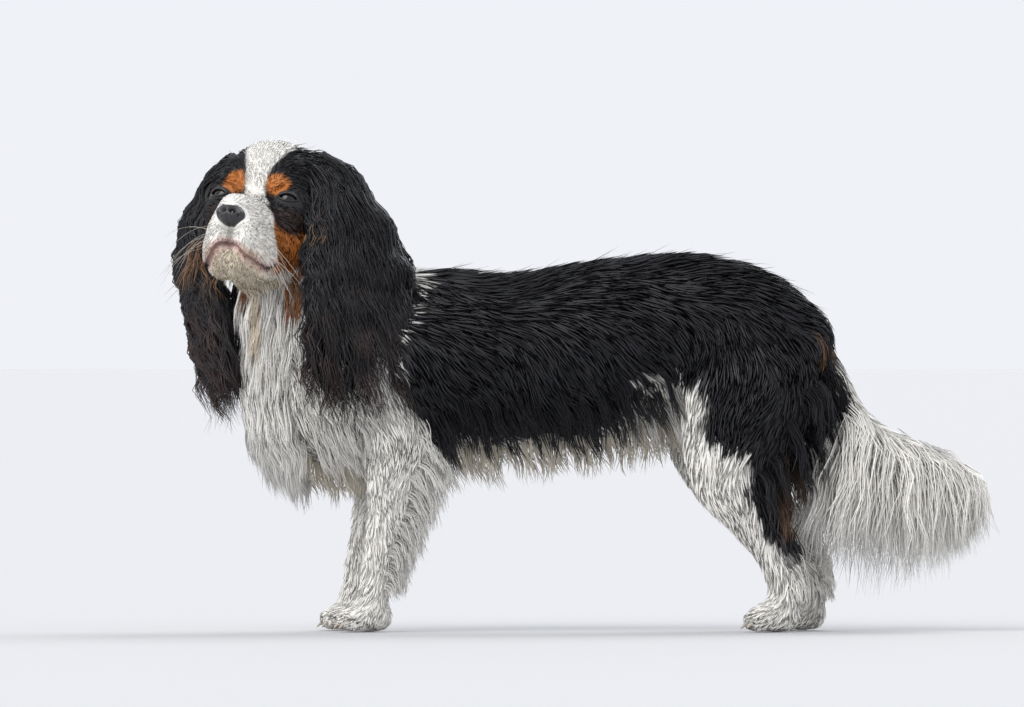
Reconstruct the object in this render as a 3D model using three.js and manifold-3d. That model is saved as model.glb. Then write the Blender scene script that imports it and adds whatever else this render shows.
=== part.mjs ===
// A tricolour Cavalier King Charles spaniel, life size, standing with its head turned and lifted.
// Millimetres, +Z up. The dog faces -X, its left side is towards -Y, and its paws stand on Z = 0.
// Every solid is the outer surface of the coat. The long silky hair of the ears, chest, belly,
// legs and tail is built as flat tapered locks that grow from the part they belong to.
import * as THREE from "three";
import { mergeVertices } from "three/addons/utils/BufferGeometryUtils.js";
import Module from "manifold-3d";

const wasm = await Module();
wasm.setup();

const V = (x, y, z) => new THREE.Vector3(x, y, z);
const DEG = Math.PI / 180;
const ACROSS_BODY = V(0, 1, 0);
const DOWN = V(0, 0, -1);

// Driving dimensions
const pawForeX = -130; // where the near fore paw stands
const pawHindX = 216; // where the near hind paw stands
const farForeStep = -15; // the far fore paw stands this much further forward
const farHindStep = 24; // the far hind paw stands this much further back
const foreTrack = 38; // midline to a fore paw
const hindTrack = 42; // midline to a hind paw
const gap = 0.3; // space kept between parts that touch

// The head is modelled about the point between the eyes: x towards the nose, y to its left, z up.
const eyesAt = V(-226, -46, 370);
const headTurn = 68 * DEG; // from straight ahead towards the dog's left
const headLift = 22 * DEG; // nose up
const headLean = 4 * DEG; // left eye lower than the right
const eyeSpacing = 29; // midline to each eye
const eyeRadius = 11;

// Geometry from rings of points, closed by a point at each end.
function closedTube(rings, first, last) {
  const sides = rings[0].length;
  const points = [first, ...rings.flat(), last];
  const faces = [];
  const at = (ring, side) => 1 + ring * sides + (side % sides);
  for (let s = 0; s < sides; s++) {
    faces.push(0, at(0, s + 1), at(0, s));
    for (let r = 0; r + 1 < rings.length; r++) {
      faces.push(at(r, s), at(r, s + 1), at(r + 1, s));
      faces.push(at(r, s + 1), at(r + 1, s + 1), at(r + 1, s));
    }
    faces.push(points.length - 1, at(rings.length - 1, s), at(rings.length - 1, s + 1));
  }
  const geometry = new THREE.BufferGeometry().setFromPoints(points);
  geometry.setIndex(faces);
  return geometry;
}

function toSolid(geometry) {
  const bare = geometry.clone();
  bare.deleteAttribute("normal");
  bare.deleteAttribute("uv");
  const merged = mergeVertices(bare, 1e-4);
  const solid = new wasm.Manifold(
    new wasm.Mesh({
      numProp: 3,
      vertProperties: new Float32Array(merged.attributes.position.array),
      triVerts: new Uint32Array(merged.index.array),
    }),
  );
  if (solid.volume() > 0) return solid;
  for (let i = 0; i < merged.index.array.length; i += 3) {
    const swap = merged.index.array[i];
    merged.index.array[i] = merged.index.array[i + 1];
    merged.index.array[i + 1] = swap;
  }
  return toSolid(merged);
}

function toGeometry(solid) {
  const mesh = solid.getMesh();
  const geometry = new THREE.BufferGeometry();
  geometry.setAttribute("position", new THREE.BufferAttribute(mesh.vertProperties, 3));
  geometry.setIndex(new THREE.BufferAttribute(mesh.triVerts, 1));
  geometry.computeVertexNormals();
  return geometry;
}

const join = (solids) => solids.reduce((all, one) => all.add(one));
const cut = (solid, tools) => tools.reduce((rest, tool) => rest.subtract(tool), solid);

// The largest closed surface of a solid, as a part keeps no loose scraps.
function largest(solid) {
  const pieces = solid.decompose();
  return pieces.reduce((best, piece) => (piece.volume() > best.volume() ? piece : best));
}

// A stretch of body drawn through stations [x, y, z, half width, half depth], with rounded ends.
// Its width lies along `across`, and angle 90 degrees on its section is the side of the back.
class Stretch {
  constructor(stations, across = ACROSS_BODY) {
    const curve = (points) => new THREE.CatmullRomCurve3(points, false, "catmullrom", 0.5);
    this.path = curve(stations.map(([x, y, z]) => V(x, y, z)));
    this.size = curve(stations.map(([, , , width, depth]) => V(width, depth, 0)));
    this.across = across;
  }

  frame(t) {
    const along = this.path.getTangent(t);
    const side = this.across.clone().addScaledVector(along, -this.across.dot(along)).normalize();
    const up = along.clone().cross(side);
    const size = this.size.getPoint(t);
    return { centre: this.path.getPoint(t), along, side, up, width: size.x, depth: size.y };
  }

  // The point of the surface at a share t of the length and an angle round the section.
  at(t, angle, grow = 0) {
    const f = this.frame(t);
    return f.centre
      .addScaledVector(f.side, Math.cos(angle) * (f.width + grow))
      .addScaledVector(f.up, Math.sin(angle) * (f.depth + grow));
  }

  normal(t, angle) {
    const f = this.frame(t);
    return f.side
      .multiplyScalar(Math.cos(angle) * f.depth)
      .addScaledVector(f.up, Math.sin(angle) * f.width)
      .normalize();
  }

  solid({ steps, sides, grow }) {
    const rings = [];
    const ring = (t, share, push) => {
      const f = this.frame(t);
      const centre = f.centre.clone().addScaledVector(f.along, push);
      return Array.from({ length: sides }, (_, s) => {
        const angle = (s / sides) * 2 * Math.PI;
        return centre
          .clone()
          .addScaledVector(f.side, Math.cos(angle) * (f.width + grow) * share)
          .addScaledVector(f.up, Math.sin(angle) * (f.depth + grow) * share);
      });
    };
    const capAngles = [60 * DEG, 30 * DEG];
    const cap = (t) => Math.min(this.frame(t).width, this.frame(t).depth) * 0.8 + grow;
    for (const a of capAngles) rings.push(ring(0, Math.cos(a), -cap(0) * Math.sin(a)));
    for (let i = 0; i <= steps; i++) rings.push(ring(i / steps, 1, 0));
    for (const a of capAngles.toReversed()) rings.push(ring(1, Math.cos(a), cap(1) * Math.sin(a)));
    const tip = (t, way) => this.path.getPoint(t).addScaledVector(this.path.getTangent(t), way * cap(t));
    return toSolid(closedTube(rings, tip(0, -1), tip(1, 1)));
  }
}

// Seeded draws, so that the locks vary and the part is the same each time
let seed = 7;
function draw(low, high) {
  seed = (seed * 1664525 + 1013904223) % 4294967296;
  return low + (seed / 4294967296) * (high - low);
}

const lockTaper = [0.85, 1, 0.72]; // width of a lock at its sections, from root to tip
const rootDepth = 5; // a lock starts this far under the surface that it grows from

// A flat lock of hair with a low ridge along it. Its centre runs through `centres` from root to tip, and
// `flat` is the direction that its broad face looks in.
function lockSolid({ centres, flat, width, thick }, grow = 0) {
  const along = (i) => centres[i + 1].clone().sub(centres[Math.max(0, i - 1)]).normalize();
  const rings = lockTaper.map((share, i) => {
    const side = along(i).cross(flat).normalize();
    const face = side.clone().cross(along(i)).normalize();
    const wide = (width / 2) * share + grow;
    const deep = (thick / 2) * Math.sqrt(share) + grow;
    return [[wide, -deep / 2], [0, deep], [-wide, -deep / 2]].map(([w, d]) =>
      centres[i].clone().addScaledVector(side, w).addScaledVector(face, d),
    );
  });
  const start = centres[0].clone().addScaledVector(along(0), -width * 0.15 - grow);
  const tip = centres.at(-1).clone().addScaledVector(along(0), 2 * grow);
  return toSolid(closedTube(rings, start, tip));
}

// A lock that leaves `root` along `lie`, bows away from the body by `bulge` and sways by `wave`.
// A lie that would dive into the body is turned to run along its surface.
function fallingLock({ root, out, flat = out, lie, length, width, thick = 5, bulge = 3, wave = 0 }) {
  const along = lie.clone().addScaledVector(out, Math.max(0, -lie.dot(out))).normalize();
  const side = along.clone().cross(flat).normalize();
  const phase = draw(0, 2 * Math.PI);
  const centres = Array.from({ length: lockTaper.length + 1 }, (_, i) => {
    const share = i / lockTaper.length;
    const lift = bulge * Math.sin(Math.PI * share) + thick * share - rootDepth * (1 - share) ** 4;
    return root
      .clone()
      .addScaledVector(along, length * share)
      .addScaledVector(out, lift)
      .addScaledVector(side, wave * share * Math.sin(phase + 5 * share));
  });
  return { centres, flat, width, thick };
}

// A lock combed along a stretch, `lift` above it, from share `from` of its length. Past the end of the
// stretch it hangs down to `tipHeight`.
function combedLock(stretch, { from, angle, tipHeight, width, thick = 5, lift, wave = 0, leave = 0.6 }) {
  const end = stretch.at(1, angle);
  const out = stretch.normal(1, angle);
  const phase = draw(0, 2 * Math.PI);
  const centres = Array.from({ length: lockTaper.length + 1 }, (_, i) => {
    const share = i / lockTaper.length;
    if (i === 0) return stretch.at(from, angle, -rootDepth);
    if (share < leave) return stretch.at(from + (1 - from) * (share / leave), angle, lift);
    const fallen = (share - leave) / (1 - leave);
    return end
      .clone()
      .setZ(end.z + (tipHeight - end.z) * fallen)
      .addScaledVector(out, lift)
      .addScaledVector(stretch.across, wave * Math.sin(phase + 3 * fallen));
  });
  return { centres, flat: stretch.normal(1, angle), width, thick };
}

// Places in staggered rows on a stretch, from share `from` to `to` of its length and between two angles
function placesOn(stretch, { rows, from, to, count, angles: [low, high] }) {
  const places = [];
  for (let row = 0; row < rows; row++) {
    for (let i = 0; i < count; i++) {
      const share = ((row % 2) * 0.5 + 0.25 + i + draw(-0.1, 0.1)) / count;
      const t = from + ((to - from) * (row + draw(0.35, 0.65))) / rows;
      const angle = (low + (high - low) * share) * DEG;
      places.push({ t, angle, share, row, root: stretch.at(t, angle), out: stretch.normal(t, angle) });
    }
  }
  return places;
}
const sideways = (out) => V(0, Math.sign(out.y) || 1, 0);

// Torso, from the forechest to the rump: [x, y, z, half width, half depth]
const torso = new Stretch([
  [-229, 0, 211, 13, 20],
  [-219, 0, 211, 31, 42],
  [-200, 0, 212, 47, 60],
  [-170, 0, 214, 58, 74],
  [-140, 0, 219, 64, 80],
  [-102, 0, 226, 69, 83],
  [-51, 0, 231, 70, 77],
  [0, 0, 232, 69, 73],
  [51, 0, 238, 67, 75],
  [102, 0, 247, 63, 73],
  [153, 0, 253, 61, 69],
  [200, 0, 250, 58, 58],
  [236, 0, 240, 45, 40],
]);

// Neck with its mane, from under the skull into the shoulders
const neck = new Stretch([
  [-201, 20, 348, 38, 36],
  [-192, 10, 318, 46, 50],
  [-178, 3, 288, 52, 62],
  [-164, 0, 256, 56, 70],
  [-152, 0, 228, 54, 70],
]);

// A foreleg from the shoulder to the wrist
const forelegOf = (sign, step) =>
  new Stretch([
    [pawForeX + 22 + step * 0.2, sign * (foreTrack - 2), 200, 20, 30],
    [pawForeX + 27 + step * 0.5, sign * (foreTrack + 2), 158, 25, 33],
    [pawForeX + 22 + step * 0.8, sign * (foreTrack + 1), 118, 19, 23],
    [pawForeX + 14 + step, sign * foreTrack, 78, 15.5, 16.5],
    [pawForeX + 7 + step, sign * foreTrack, 42, 14.5, 15],
    [pawForeX + 3 + step, sign * foreTrack, 20, 15, 15],
  ]);

// A hind leg from the hip through stifle and hock to the pastern
const hindLegOf = (sign, step) =>
  new Stretch([
    [pawHindX - 10, sign * (hindTrack - 12), 250, 26, 42],
    [pawHindX - 18, sign * (hindTrack - 8), 212, 36, 60],
    [pawHindX - 30 - step * 0.4, sign * (hindTrack - 4), 168, 32, 53],
    [pawHindX - 34 + step * 0.1, sign * hindTrack, 130, 23, 37],
    [pawHindX - 16 + step * 0.6, sign * hindTrack, 96, 17, 23],
    [pawHindX + 3 + step, sign * hindTrack, 64, 14, 17],
    [pawHindX + 9 + step, sign * hindTrack, 38, 13, 14],
    [pawHindX + 8 + step, sign * hindTrack, 18, 14, 14],
  ]);

// The tail under its plume
const tail = new Stretch([
  [244, 0, 252, 15, 15],
  [266, 0, 224, 15, 15],
  [286, 0, 192, 15, 14],
  [308, 0, 175, 14, 13],
  [334, 0, 163, 12, 12],
  [356, 0, 153, 9, 10],
  [370, 0, 138, 6, 7],
]);

// Ear leathers with their dense short hair, hanging from high on the skull
const earStations = {
  left: [
    [-178, -8, 405, 16, 10],
    [-160, -26, 382, 24, 12],
    [-148, -44, 348, 32, 13],
    [-142, -58, 316, 40, 12],
    [-139, -67, 288, 40, 8],
  ],
  right: [
    [-242, 14, 402, 16, 10],
    [-261, 20, 374, 22, 12],
    [-273, 22, 342, 28, 13],
    [-276, 20, 314, 34, 12],
    [-273, 18, 290, 32, 8],
  ],
};
const ears = {
  left: new Stretch(earStations.left, V(0.92, 0.39, 0)),
  right: new Stretch(earStations.right, V(0.39, -0.92, 0)),
};

const earTips = { left: 172, right: 182 }; // height of the lowest hair of each
const cupSize = [19, 7, 32]; // half width, depth and half height of the hollow in a leather

// The shallow cup on the inner side of an ear's leather
function earCup(ear, grow) {
  const cup = new THREE.SphereGeometry(1, 10, 6).scale(...cupSize.map((r) => r - grow));
  cup.rotateZ(Math.atan2(ear.across.y, ear.across.x));
  return toSolid(cup.translate(...ear.at(0.55, -90 * DEG)));
}

// A paw with four toes and their claws, flat under its pads
const pawLength = 50;
const toeRadius = 8.5;
const clawRadius = 2.2;
const clawLength = 9;
function pawPieces(x, y, grow = 0) {
  const ball = (centre, size, wide = 7, high = 4) =>
    sphere(centre, size.map((r) => r + grow), wide, high);
  const pieces = [ball([x + 2, y, 13], [pawLength * 0.42, 16, 15], 9, 6)];
  for (const place of [-1.5, -0.5, 0.5, 1.5]) {
    const reach = pawLength * (0.4 - 0.045 * place * place);
    const toeY = y + place * toeRadius;
    pieces.push(ball([x - reach + 6, toeY, 9.5], [14, toeRadius * 0.72, toeRadius + 1.5]));
    const claw = new THREE.ConeGeometry(clawRadius + grow, clawLength + grow, 4).rotateZ(115 * DEG);
    pieces.push(toSolid(claw.translate(x - reach - 7, toeY, 5)));
  }
  return pieces;
}

// Head. Its surface is where a smooth blend of these masses ends.
const headMasses = [
  { at: [-46, 0, 20], size: [49, 50, 46] }, // brain case
  { at: [-22, 0, 26], size: [25, 37, 31] }, // forehead
  { at: [-13, 18, 17], size: [16, 15, 13], paired: true }, // brows
  { at: [-16, 29, -4], size: [20, 19, 21], paired: true }, // cheekbones
  { at: [-30, 27, -24], size: [31, 21, 29], paired: true }, // cheeks
  { at: [-2, 0, -28], size: [32, 31, 24] }, // face filled out under the eyes
  { at: [14, 0, -25], size: [32, 19, 18] }, // bridge of the muzzle
  { at: [19, 12.5, -49], size: [23, 13.5, 25], paired: true }, // flews
  { at: [4, 20, -55], size: [23, 14.5, 22], paired: true }, // corners of the mouth
  { at: [0, 0, -63], size: [31, 15, 17] }, // lower jaw
  { at: [-41, 0, -40], size: [40, 34, 33] }, // throat
];
const headBlend = 8; // how widely the masses run into each other

function ellipsoidDistance(p, [cx, cy, cz], [rx, ry, rz]) {
  const q = V(p.x - cx, p.y - cy, p.z - cz);
  const scaled = V(q.x / rx, q.y / ry, q.z / rz).length();
  const slope = V(q.x / (rx * rx), q.y / (ry * ry), q.z / (rz * rz)).length();
  return slope < 1e-9 ? -Math.min(rx, ry, rz) : (scaled * (scaled - 1)) / slope;
}

// Signed distance to the head, negative inside
function headDistance(p) {
  let nearest = 1e3;
  for (const { at, size, paired } of headMasses) {
    const folded = paired ? V(p.x, Math.abs(p.y), p.z) : p;
    const d = ellipsoidDistance(folded, at, size);
    const mix = Math.max(0, Math.min(1, 0.5 + (nearest - d) / (2 * headBlend)));
    nearest = nearest + (d - nearest) * mix - headBlend * mix * (1 - mix);
  }
  return nearest;
}

// The head's surface point seen from `from` along `way`, found from outside
function headSurface(from, way, grow = 0) {
  let reach = 130;
  for (let i = 0; i < 90; i++) {
    const left = headDistance(from.clone().addScaledVector(way, reach)) - grow;
    if (left < 0.02) break;
    reach -= left * 0.7;
  }
  return from.clone().addScaledVector(way, reach);
}

const muzzleHeart = V(2, 0, -32);
const skullHeart = V(-40, 0, -2);

function headSolid(grow = 0, rows = 24, sides = 30) {
  const ring = (share) => {
    const open = Math.PI * share ** 1.1; // rows lie closer towards the nose
    const from = muzzleHeart.clone().lerp(skullHeart, THREE.MathUtils.smoothstep(open, 0.3, 2));
    return Array.from({ length: sides }, (_, s) => {
      const around = ((s + 0.5) / sides) * 2 * Math.PI;
      const way = V(
        Math.cos(open),
        Math.sin(open) * Math.cos(around),
        Math.sin(open) * Math.sin(around),
      );
      return headSurface(from, way, grow);
    });
  };
  const rings = Array.from({ length: rows - 1 }, (_, r) => ring((r + 1) / rows));
  const front = headSurface(muzzleHeart, V(1, 0, 0), grow);
  const back = headSurface(skullHeart, V(-1, 0, 0), grow);
  return toSolid(closedTube(rings, front, back));
}

function sphere(centre, size, wide = 14, high = 10) {
  return toSolid(new THREE.SphereGeometry(1, wide, high).scale(...size).translate(...centre));
}
const round = (r) => [r, r, r];

// A slim cord along points that are first dropped onto the head's surface
function cordOnHead(points, radius) {
  const onHead = points.map((p) => {
    const way = V(...p).sub(muzzleHeart).normalize();
    return headSurface(muzzleHeart, way);
  });
  const section = new THREE.Shape();
  section.absarc(0, 0, radius, 0, 2 * Math.PI);
  const extrudePath = new THREE.CatmullRomCurve3(onHead);
  const options = { steps: 8, curveSegments: 2, bevelEnabled: false, extrudePath };
  return toSolid(new THREE.ExtrudeGeometry(section, options));
}

const eyeCentre = (sign, forward = 0) => [-8 + forward, sign * (eyeSpacing + forward * 0.3), 0];
const noseAt = [37.5, 0, -32.5];
const noseSize = [10, 13, 9.5];
const lidThickness = 2.2;
const lidOpening = [9, 8.5, 3.2]; // half sizes of the cut between the lids
const lipGroove = 1.3; // radius of the line of the mouth
const lowerLip = 1.8; // radius of the lip under it

function noseSolid() {
  let nose = sphere(noseAt, noseSize, 14, 9);
  for (const sign of [1, -1]) {
    nose = nose.subtract(sphere([48, sign * 5.2, -31], [5, 2.5, 3], 8, 6)); // nostril
    nose = nose.subtract(sphere([44, sign * 9.5, -34], [6, 4, 1.1], 8, 4)); // slit beside it
  }
  return nose;
}

function faceSolid() {
  const mouthLine = (sign) => [
    [41, 0, -57],
    [39, sign * 9, -61],
    [33, sign * 16, -68],
    [19, sign * 25, -72],
    [6, sign * 32, -70],
  ];
  let face = headSolid();
  for (const sign of [1, -1]) {
    face = face.add(sphere(eyeCentre(sign), round(eyeRadius + gap + lidThickness), 12, 8));
    const underMouth = mouthLine(sign).map(([x, y, z]) => [x - 1, y, z - 3.5]);
    face = face.add(cordOnHead(underMouth, lowerLip));
    face = face.subtract(cordOnHead(mouthLine(sign), lipGroove));
  }
  for (const sign of [1, -1]) {
    face = face.subtract(sphere(eyeCentre(sign), round(eyeRadius + gap), 12, 8));
    face = face.subtract(sphere(eyeCentre(sign, eyeRadius + 1), lidOpening, 12, 6));
  }
  face = face.subtract(cordOnHead([[46, 0, -40], [44, 0, -48], [41, 0, -56]], 1)); // below the nose
  return face.subtract(sphere(noseAt, noseSize.map((r) => r + gap), 14, 9));
}

const head = new THREE.Group();
head.position.copy(eyesAt);
// Columns are the head's own forward, left and up directions before it leans.
const facing = V(
  -Math.cos(headTurn) * Math.cos(headLift),
  -Math.sin(headTurn) * Math.cos(headLift),
  Math.sin(headLift),
);
const toLeft = V(Math.sin(headTurn), -Math.cos(headTurn), 0);
const crown = facing.clone().cross(toLeft);
head.quaternion
  .setFromRotationMatrix(new THREE.Matrix4().makeBasis(facing, toLeft, crown))
  .premultiply(new THREE.Quaternion().setFromAxisAngle(facing, -headLean));
head.updateMatrixWorld(true);
const inBody = (solid) => toSolid(toGeometry(solid).applyMatrix4(head.matrixWorld));

// White ruff down the front of the neck and round the forechest
function ruffOnNeck() {
  const places = placesOn(neck, { rows: 3, from: 0.12, to: 0.9, count: 4, angles: [-150, -30] });
  return places.map(({ root, out }) => {
    const length = draw(66, 80);
    const width = draw(32, 40);
    return fallingLock({ root, out, lie: DOWN, length, width, thick: 7, bulge: 5, wave: 3 });
  });
}

function ruffOnChest() {
  const places = placesOn(torso, { rows: 3, from: 0.03, to: 0.16, count: 5, angles: [-165, -15] });
  return places.map(({ root, out }) => {
    const lie = V(0.1 + 0.004 * (230 + root.x), 0, -1).addScaledVector(out, 0.1);
    const flat = out.clone().lerp(V(-1, 0, 0), 0.4);
    const length = draw(50, 62);
    return fallingLock({ root, out, flat, lie, length, width: draw(28, 34), thick: 7, wave: 3 });
  });
}

// Skirt of coat hanging along each side of the belly
function bellyFringe() {
  const hang = ({ root, out, t }) => {
    const length = draw(40, 50) * (t > 0.65 ? 0.75 : 1);
    const lie = V(0.25, 0, -1);
    return fallingLock({ root, out, flat: sideways(out), lie, length, width: draw(29, 33), wave: 3 });
  };
  return [[-118, -106], [-74, -62]].flatMap((angles) =>
    placesOn(torso, { rows: 12, from: 0.2, to: 0.82, count: 1, angles }).map(hang),
  );
}

// White tuft where the nape meets the shoulders
function napeTuft() {
  const places = placesOn(neck, { rows: 2, from: 0.4, to: 0.62, count: 2, angles: [60, 120] });
  return places.map(({ root, out }) => {
    const lie = V(1, 0, -0.4).addScaledVector(out, 0.2);
    return fallingLock({ root, out, lie, length: draw(28, 36), width: 24 });
  });
}

// Long wavy hair of an ear, combed over its leather and hanging past it to a rounded fringe
function earLocks(ear, lowest) {
  const places = placesOn(ear, { rows: 3, from: 0.2, to: 0.8, count: 5, angles: [-180, 180] });
  return places.map(({ t, angle, row }) => {
    const rounded = 24 * Math.cos(angle) ** 2;
    const tipHeight = lowest + draw(0, 14) + rounded + (2 - row) * 12;
    const lift = 3 + 3 * (2 - row);
    return combedLock(ear, { from: t, angle, tipHeight, width: draw(22, 27), wave: 5, lift });
  });
}

// Feathering behind a leg, between two shares of its length
function legFeather(leg, { from, to, count, back, lengths: [low, high], width }) {
  const slim = { width, thick: 4, bulge: 2, wave: 2 };
  const hang = ({ root, out }) =>
    fallingLock({ root, out, flat: sideways(out), lie: V(back, 0, -1), length: draw(low, high), ...slim });
  return [[55, 75], [105, 125]].flatMap((angles) =>
    placesOn(leg, { rows: count, from, to, count: 1, angles }).map(hang),
  );
}

// Plume hanging from the tail in three layers, its tips near `plumeTips` above the floor
const plumeTips = 44;
function plume() {
  const full = { thick: 9, bulge: 5, wave: 4 };
  const hang = ({ root, out, t }) => {
    const lie = V(-0.1 + 0.4 * t, 0, -1).addScaledVector(out, 0.12);
    const length = (root.z - plumeTips) * draw(0.86, 1);
    return fallingLock({ root, out, flat: sideways(out), lie, length, width: draw(30, 36), ...full });
  };
  return [[-160, -120], [-110, -70], [-60, -20]].flatMap((angles) =>
    placesOn(tail, { rows: 6, from: 0.28, to: 1, count: 1, angles }).map(hang),
  );
}

const coatColours = { black: 0x1b1a1c, white: 0xe9e6df, brown: 0x2a201c };
const coat = (color) => ({ color, roughness: 0.75, metalness: 0 });
const dog = new THREE.Group();
dog.add(head);
function addNode(group, name, solid, look) {
  const mesh = new THREE.Mesh(toGeometry(largest(solid)), new THREE.MeshStandardMaterial(look));
  mesh.name = name;
  group.add(mesh);
}

const belowFloor = toSolid(new THREE.BoxGeometry(900, 400, 40).translate(0, 0, -20));

// What stands apart in the body's own frame: a core of flesh and short coat, and the locks on it.
// Where two meet, the one that comes first here keeps its shape.
const parts = [
  {
    name: "torso",
    core: (grow) => torso.solid({ grow, steps: 12, sides: 16 }),
    locks: [...ruffOnChest(), ...bellyFringe()],
    colour: "black",
  },
  {
    name: "neck",
    core: (grow) => neck.solid({ grow, steps: 7, sides: 14 }),
    locks: [...ruffOnNeck(), ...napeTuft()],
    colour: "white",
  },
  {
    name: "tail",
    core: (grow) => tail.solid({ grow, steps: 9, sides: 10 }),
    locks: plume(),
    colour: "white",
  },
];

// A leg with its paw, and the feathering behind it
function legPart(name, leg, sizes, paw, feathers) {
  return {
    name,
    core: (grow) => join([leg.solid({ grow, ...sizes }), ...pawPieces(...paw, grow)]),
    locks: feathers.flatMap((feather) => legFeather(leg, feather)),
    colour: "white",
  };
}

const foreFeather = { from: 0.22, to: 0.85, count: 4, back: 0.75, lengths: [40, 50], width: 22 };
const thighFeather = { from: 0.18, to: 0.6, count: 4, back: 0.25, lengths: [44, 58], width: 34 };
const hockFeather = { from: 0.65, to: 0.88, count: 2, back: 0.5, lengths: [18, 24], width: 14 };
for (const [side, sign, foreStep, hindStep] of [
  ["left", -1, 0, 0],
  ["right", 1, farForeStep, farHindStep],
]) {
  const foreleg = forelegOf(sign, foreStep);
  const forePaw = [pawForeX + foreStep, sign * foreTrack];
  parts.push(legPart(side + "_foreleg", foreleg, { steps: 8, sides: 12 }, forePaw, [foreFeather]));
  const hindLeg = hindLegOf(sign, hindStep);
  const hindPaw = [pawHindX + hindStep, sign * hindTrack];
  const hindFeathers = [thighFeather, hockFeather];
  parts.push(legPart(side + "_hind_leg", hindLeg, { steps: 11, sides: 12 }, hindPaw, hindFeathers));
}
for (const [side, ear] of Object.entries(ears)) {
  parts.push({
    name: side + "_ear",
    core: (grow) => ear.solid({ grow, steps: 5, sides: 10 }).subtract(earCup(ear, grow)),
    locks: earLocks(ear, earTips[side]),
    colour: "brown",
  });
}

addNode(head, "head", faceSolid(), coat(coatColours.white));
addNode(head, "nose", noseSolid(), { color: 0x16130f, roughness: 0.35 });
for (const [side, sign] of [["left", 1], ["right", -1]]) {
  const eye = sphere(eyeCentre(sign), round(eyeRadius), 12, 8);
  addNode(head, side + "_eye", eye, { color: 0x1a0e08, roughness: 0.08 });
}
const headRoom = inBody(headSolid(gap));
const coreRooms = parts.map(({ core }) => core(gap));
const lockRooms = parts.map(({ locks }) => join(locks.map((lock) => lockSolid(lock, gap))));
parts.forEach(({ name, core, locks, colour }, i) => {
  const earlier = (rooms) => rooms.slice(0, i);
  const otherCores = coreRooms.filter((_, j) => j !== i);
  const flesh = cut(core(0), [headRoom, ...earlier(coreRooms)]);
  const loose = join(locks.map((lock) => lockSolid(lock)));
  const hair = cut(loose, [headRoom, ...otherCores, ...earlier(lockRooms)]);
  addNode(dog, name, flesh.add(hair).subtract(belowFloor), coat(coatColours[colour]));
});

// The origin is under the middle of the whole dog, on the floor.
const box = new THREE.Box3().setFromObject(dog, true);
dog.position.set(-(box.min.x + box.max.x) / 2, -(box.min.y + box.max.y) / 2, -box.min.z);
export default dog;
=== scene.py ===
import math

import bmesh
import bpy
import numpy as np
from mathutils import Matrix, Vector
from mathutils.bvhtree import BVHTree


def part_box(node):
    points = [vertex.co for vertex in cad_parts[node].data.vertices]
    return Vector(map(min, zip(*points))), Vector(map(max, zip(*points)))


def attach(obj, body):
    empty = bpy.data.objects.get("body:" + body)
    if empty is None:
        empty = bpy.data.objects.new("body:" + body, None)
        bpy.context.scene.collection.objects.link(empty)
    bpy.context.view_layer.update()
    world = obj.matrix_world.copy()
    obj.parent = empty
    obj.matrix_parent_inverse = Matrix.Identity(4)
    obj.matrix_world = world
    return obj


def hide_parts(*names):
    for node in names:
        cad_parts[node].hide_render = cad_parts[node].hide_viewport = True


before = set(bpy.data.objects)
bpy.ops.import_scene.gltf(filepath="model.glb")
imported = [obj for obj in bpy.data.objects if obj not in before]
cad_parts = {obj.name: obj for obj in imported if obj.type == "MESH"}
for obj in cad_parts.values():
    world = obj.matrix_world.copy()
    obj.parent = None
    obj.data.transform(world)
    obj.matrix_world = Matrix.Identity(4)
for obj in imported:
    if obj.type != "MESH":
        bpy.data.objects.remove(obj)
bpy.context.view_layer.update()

rng = np.random.default_rng(5)

# Driving dimensions
MM = 0.001
DEG = math.pi / 180
FORE_PAW_X = -130  # where the near fore paw stands
HIND_PAW_X = 216  # where the near hind paw stands
FAR_FORE_STEP = -15  # how far behind the near fore paw the far one stands
FAR_HIND_STEP = 24  # how far behind the near hind paw the far one stands
FORE_TRACK = 38  # midline to a fore paw
HIND_TRACK = 42  # midline to a hind paw
EYES_AT = np.array([-226.0, -46.0, 370.0])  # the point between the eyes
HEAD_TURN = 68 * DEG
HEAD_LIFT = 22 * DEG
HEAD_LEAN = 4 * DEG
EYE_SPACING = 29
EYE_BACK = 8  # an eye's centre lies this far behind the point between the eyes
EYE_RADIUS = 11
DOWN = np.array([0.0, 0.0, -1.0])


def unit(v):
    return v / np.maximum(np.linalg.norm(v, axis=-1, keepdims=True), 1e-9)


def smoothstep(low, high, x):
    s = np.clip((x - low) / (high - low), 0, 1)
    return s * s * (3 - 2 * s)


# The head is shaped about the point between the eyes: x towards the nose, y to its left, z up.
def head_axes():
    facing = np.array([
        -math.cos(HEAD_TURN) * math.cos(HEAD_LIFT),
        -math.sin(HEAD_TURN) * math.cos(HEAD_LIFT),
        math.sin(HEAD_LIFT),
    ])
    to_left = np.array([math.sin(HEAD_TURN), -math.cos(HEAD_TURN), 0])
    lean = Matrix.Rotation(-HEAD_LEAN, 3, Vector(facing))
    return np.array([facing, lean @ Vector(to_left), lean @ Vector(np.cross(facing, to_left))])


HEAD_AXES = head_axes()
JAW_TOP = -20  # height on the head below which the face leans
JAW_LEAN = 0.1  # how far it leans aside for each millimetre further down


def jaw_shift(z):
    """The lower face is held a little to the near side."""
    return JAW_LEAN * np.maximum(0, JAW_TOP - z)


def in_head(points):
    local = (points - EYES_AT) @ HEAD_AXES.T
    local[..., 1] -= jaw_shift(local[..., 2])
    return local


def from_head(points):
    local = np.array(points, float)
    local[..., 1] += jaw_shift(local[..., 2])
    return local @ HEAD_AXES + EYES_AT


def shift_into_frame():
    low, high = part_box("left_eye")
    middle = np.array((low + high) / 2)
    return middle - from_head([-EYE_BACK, EYE_SPACING, 0]) * MM


SHIFT = shift_into_frame()


def to_world(points):
    return np.asarray(points, float) * MM + SHIFT


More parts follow.
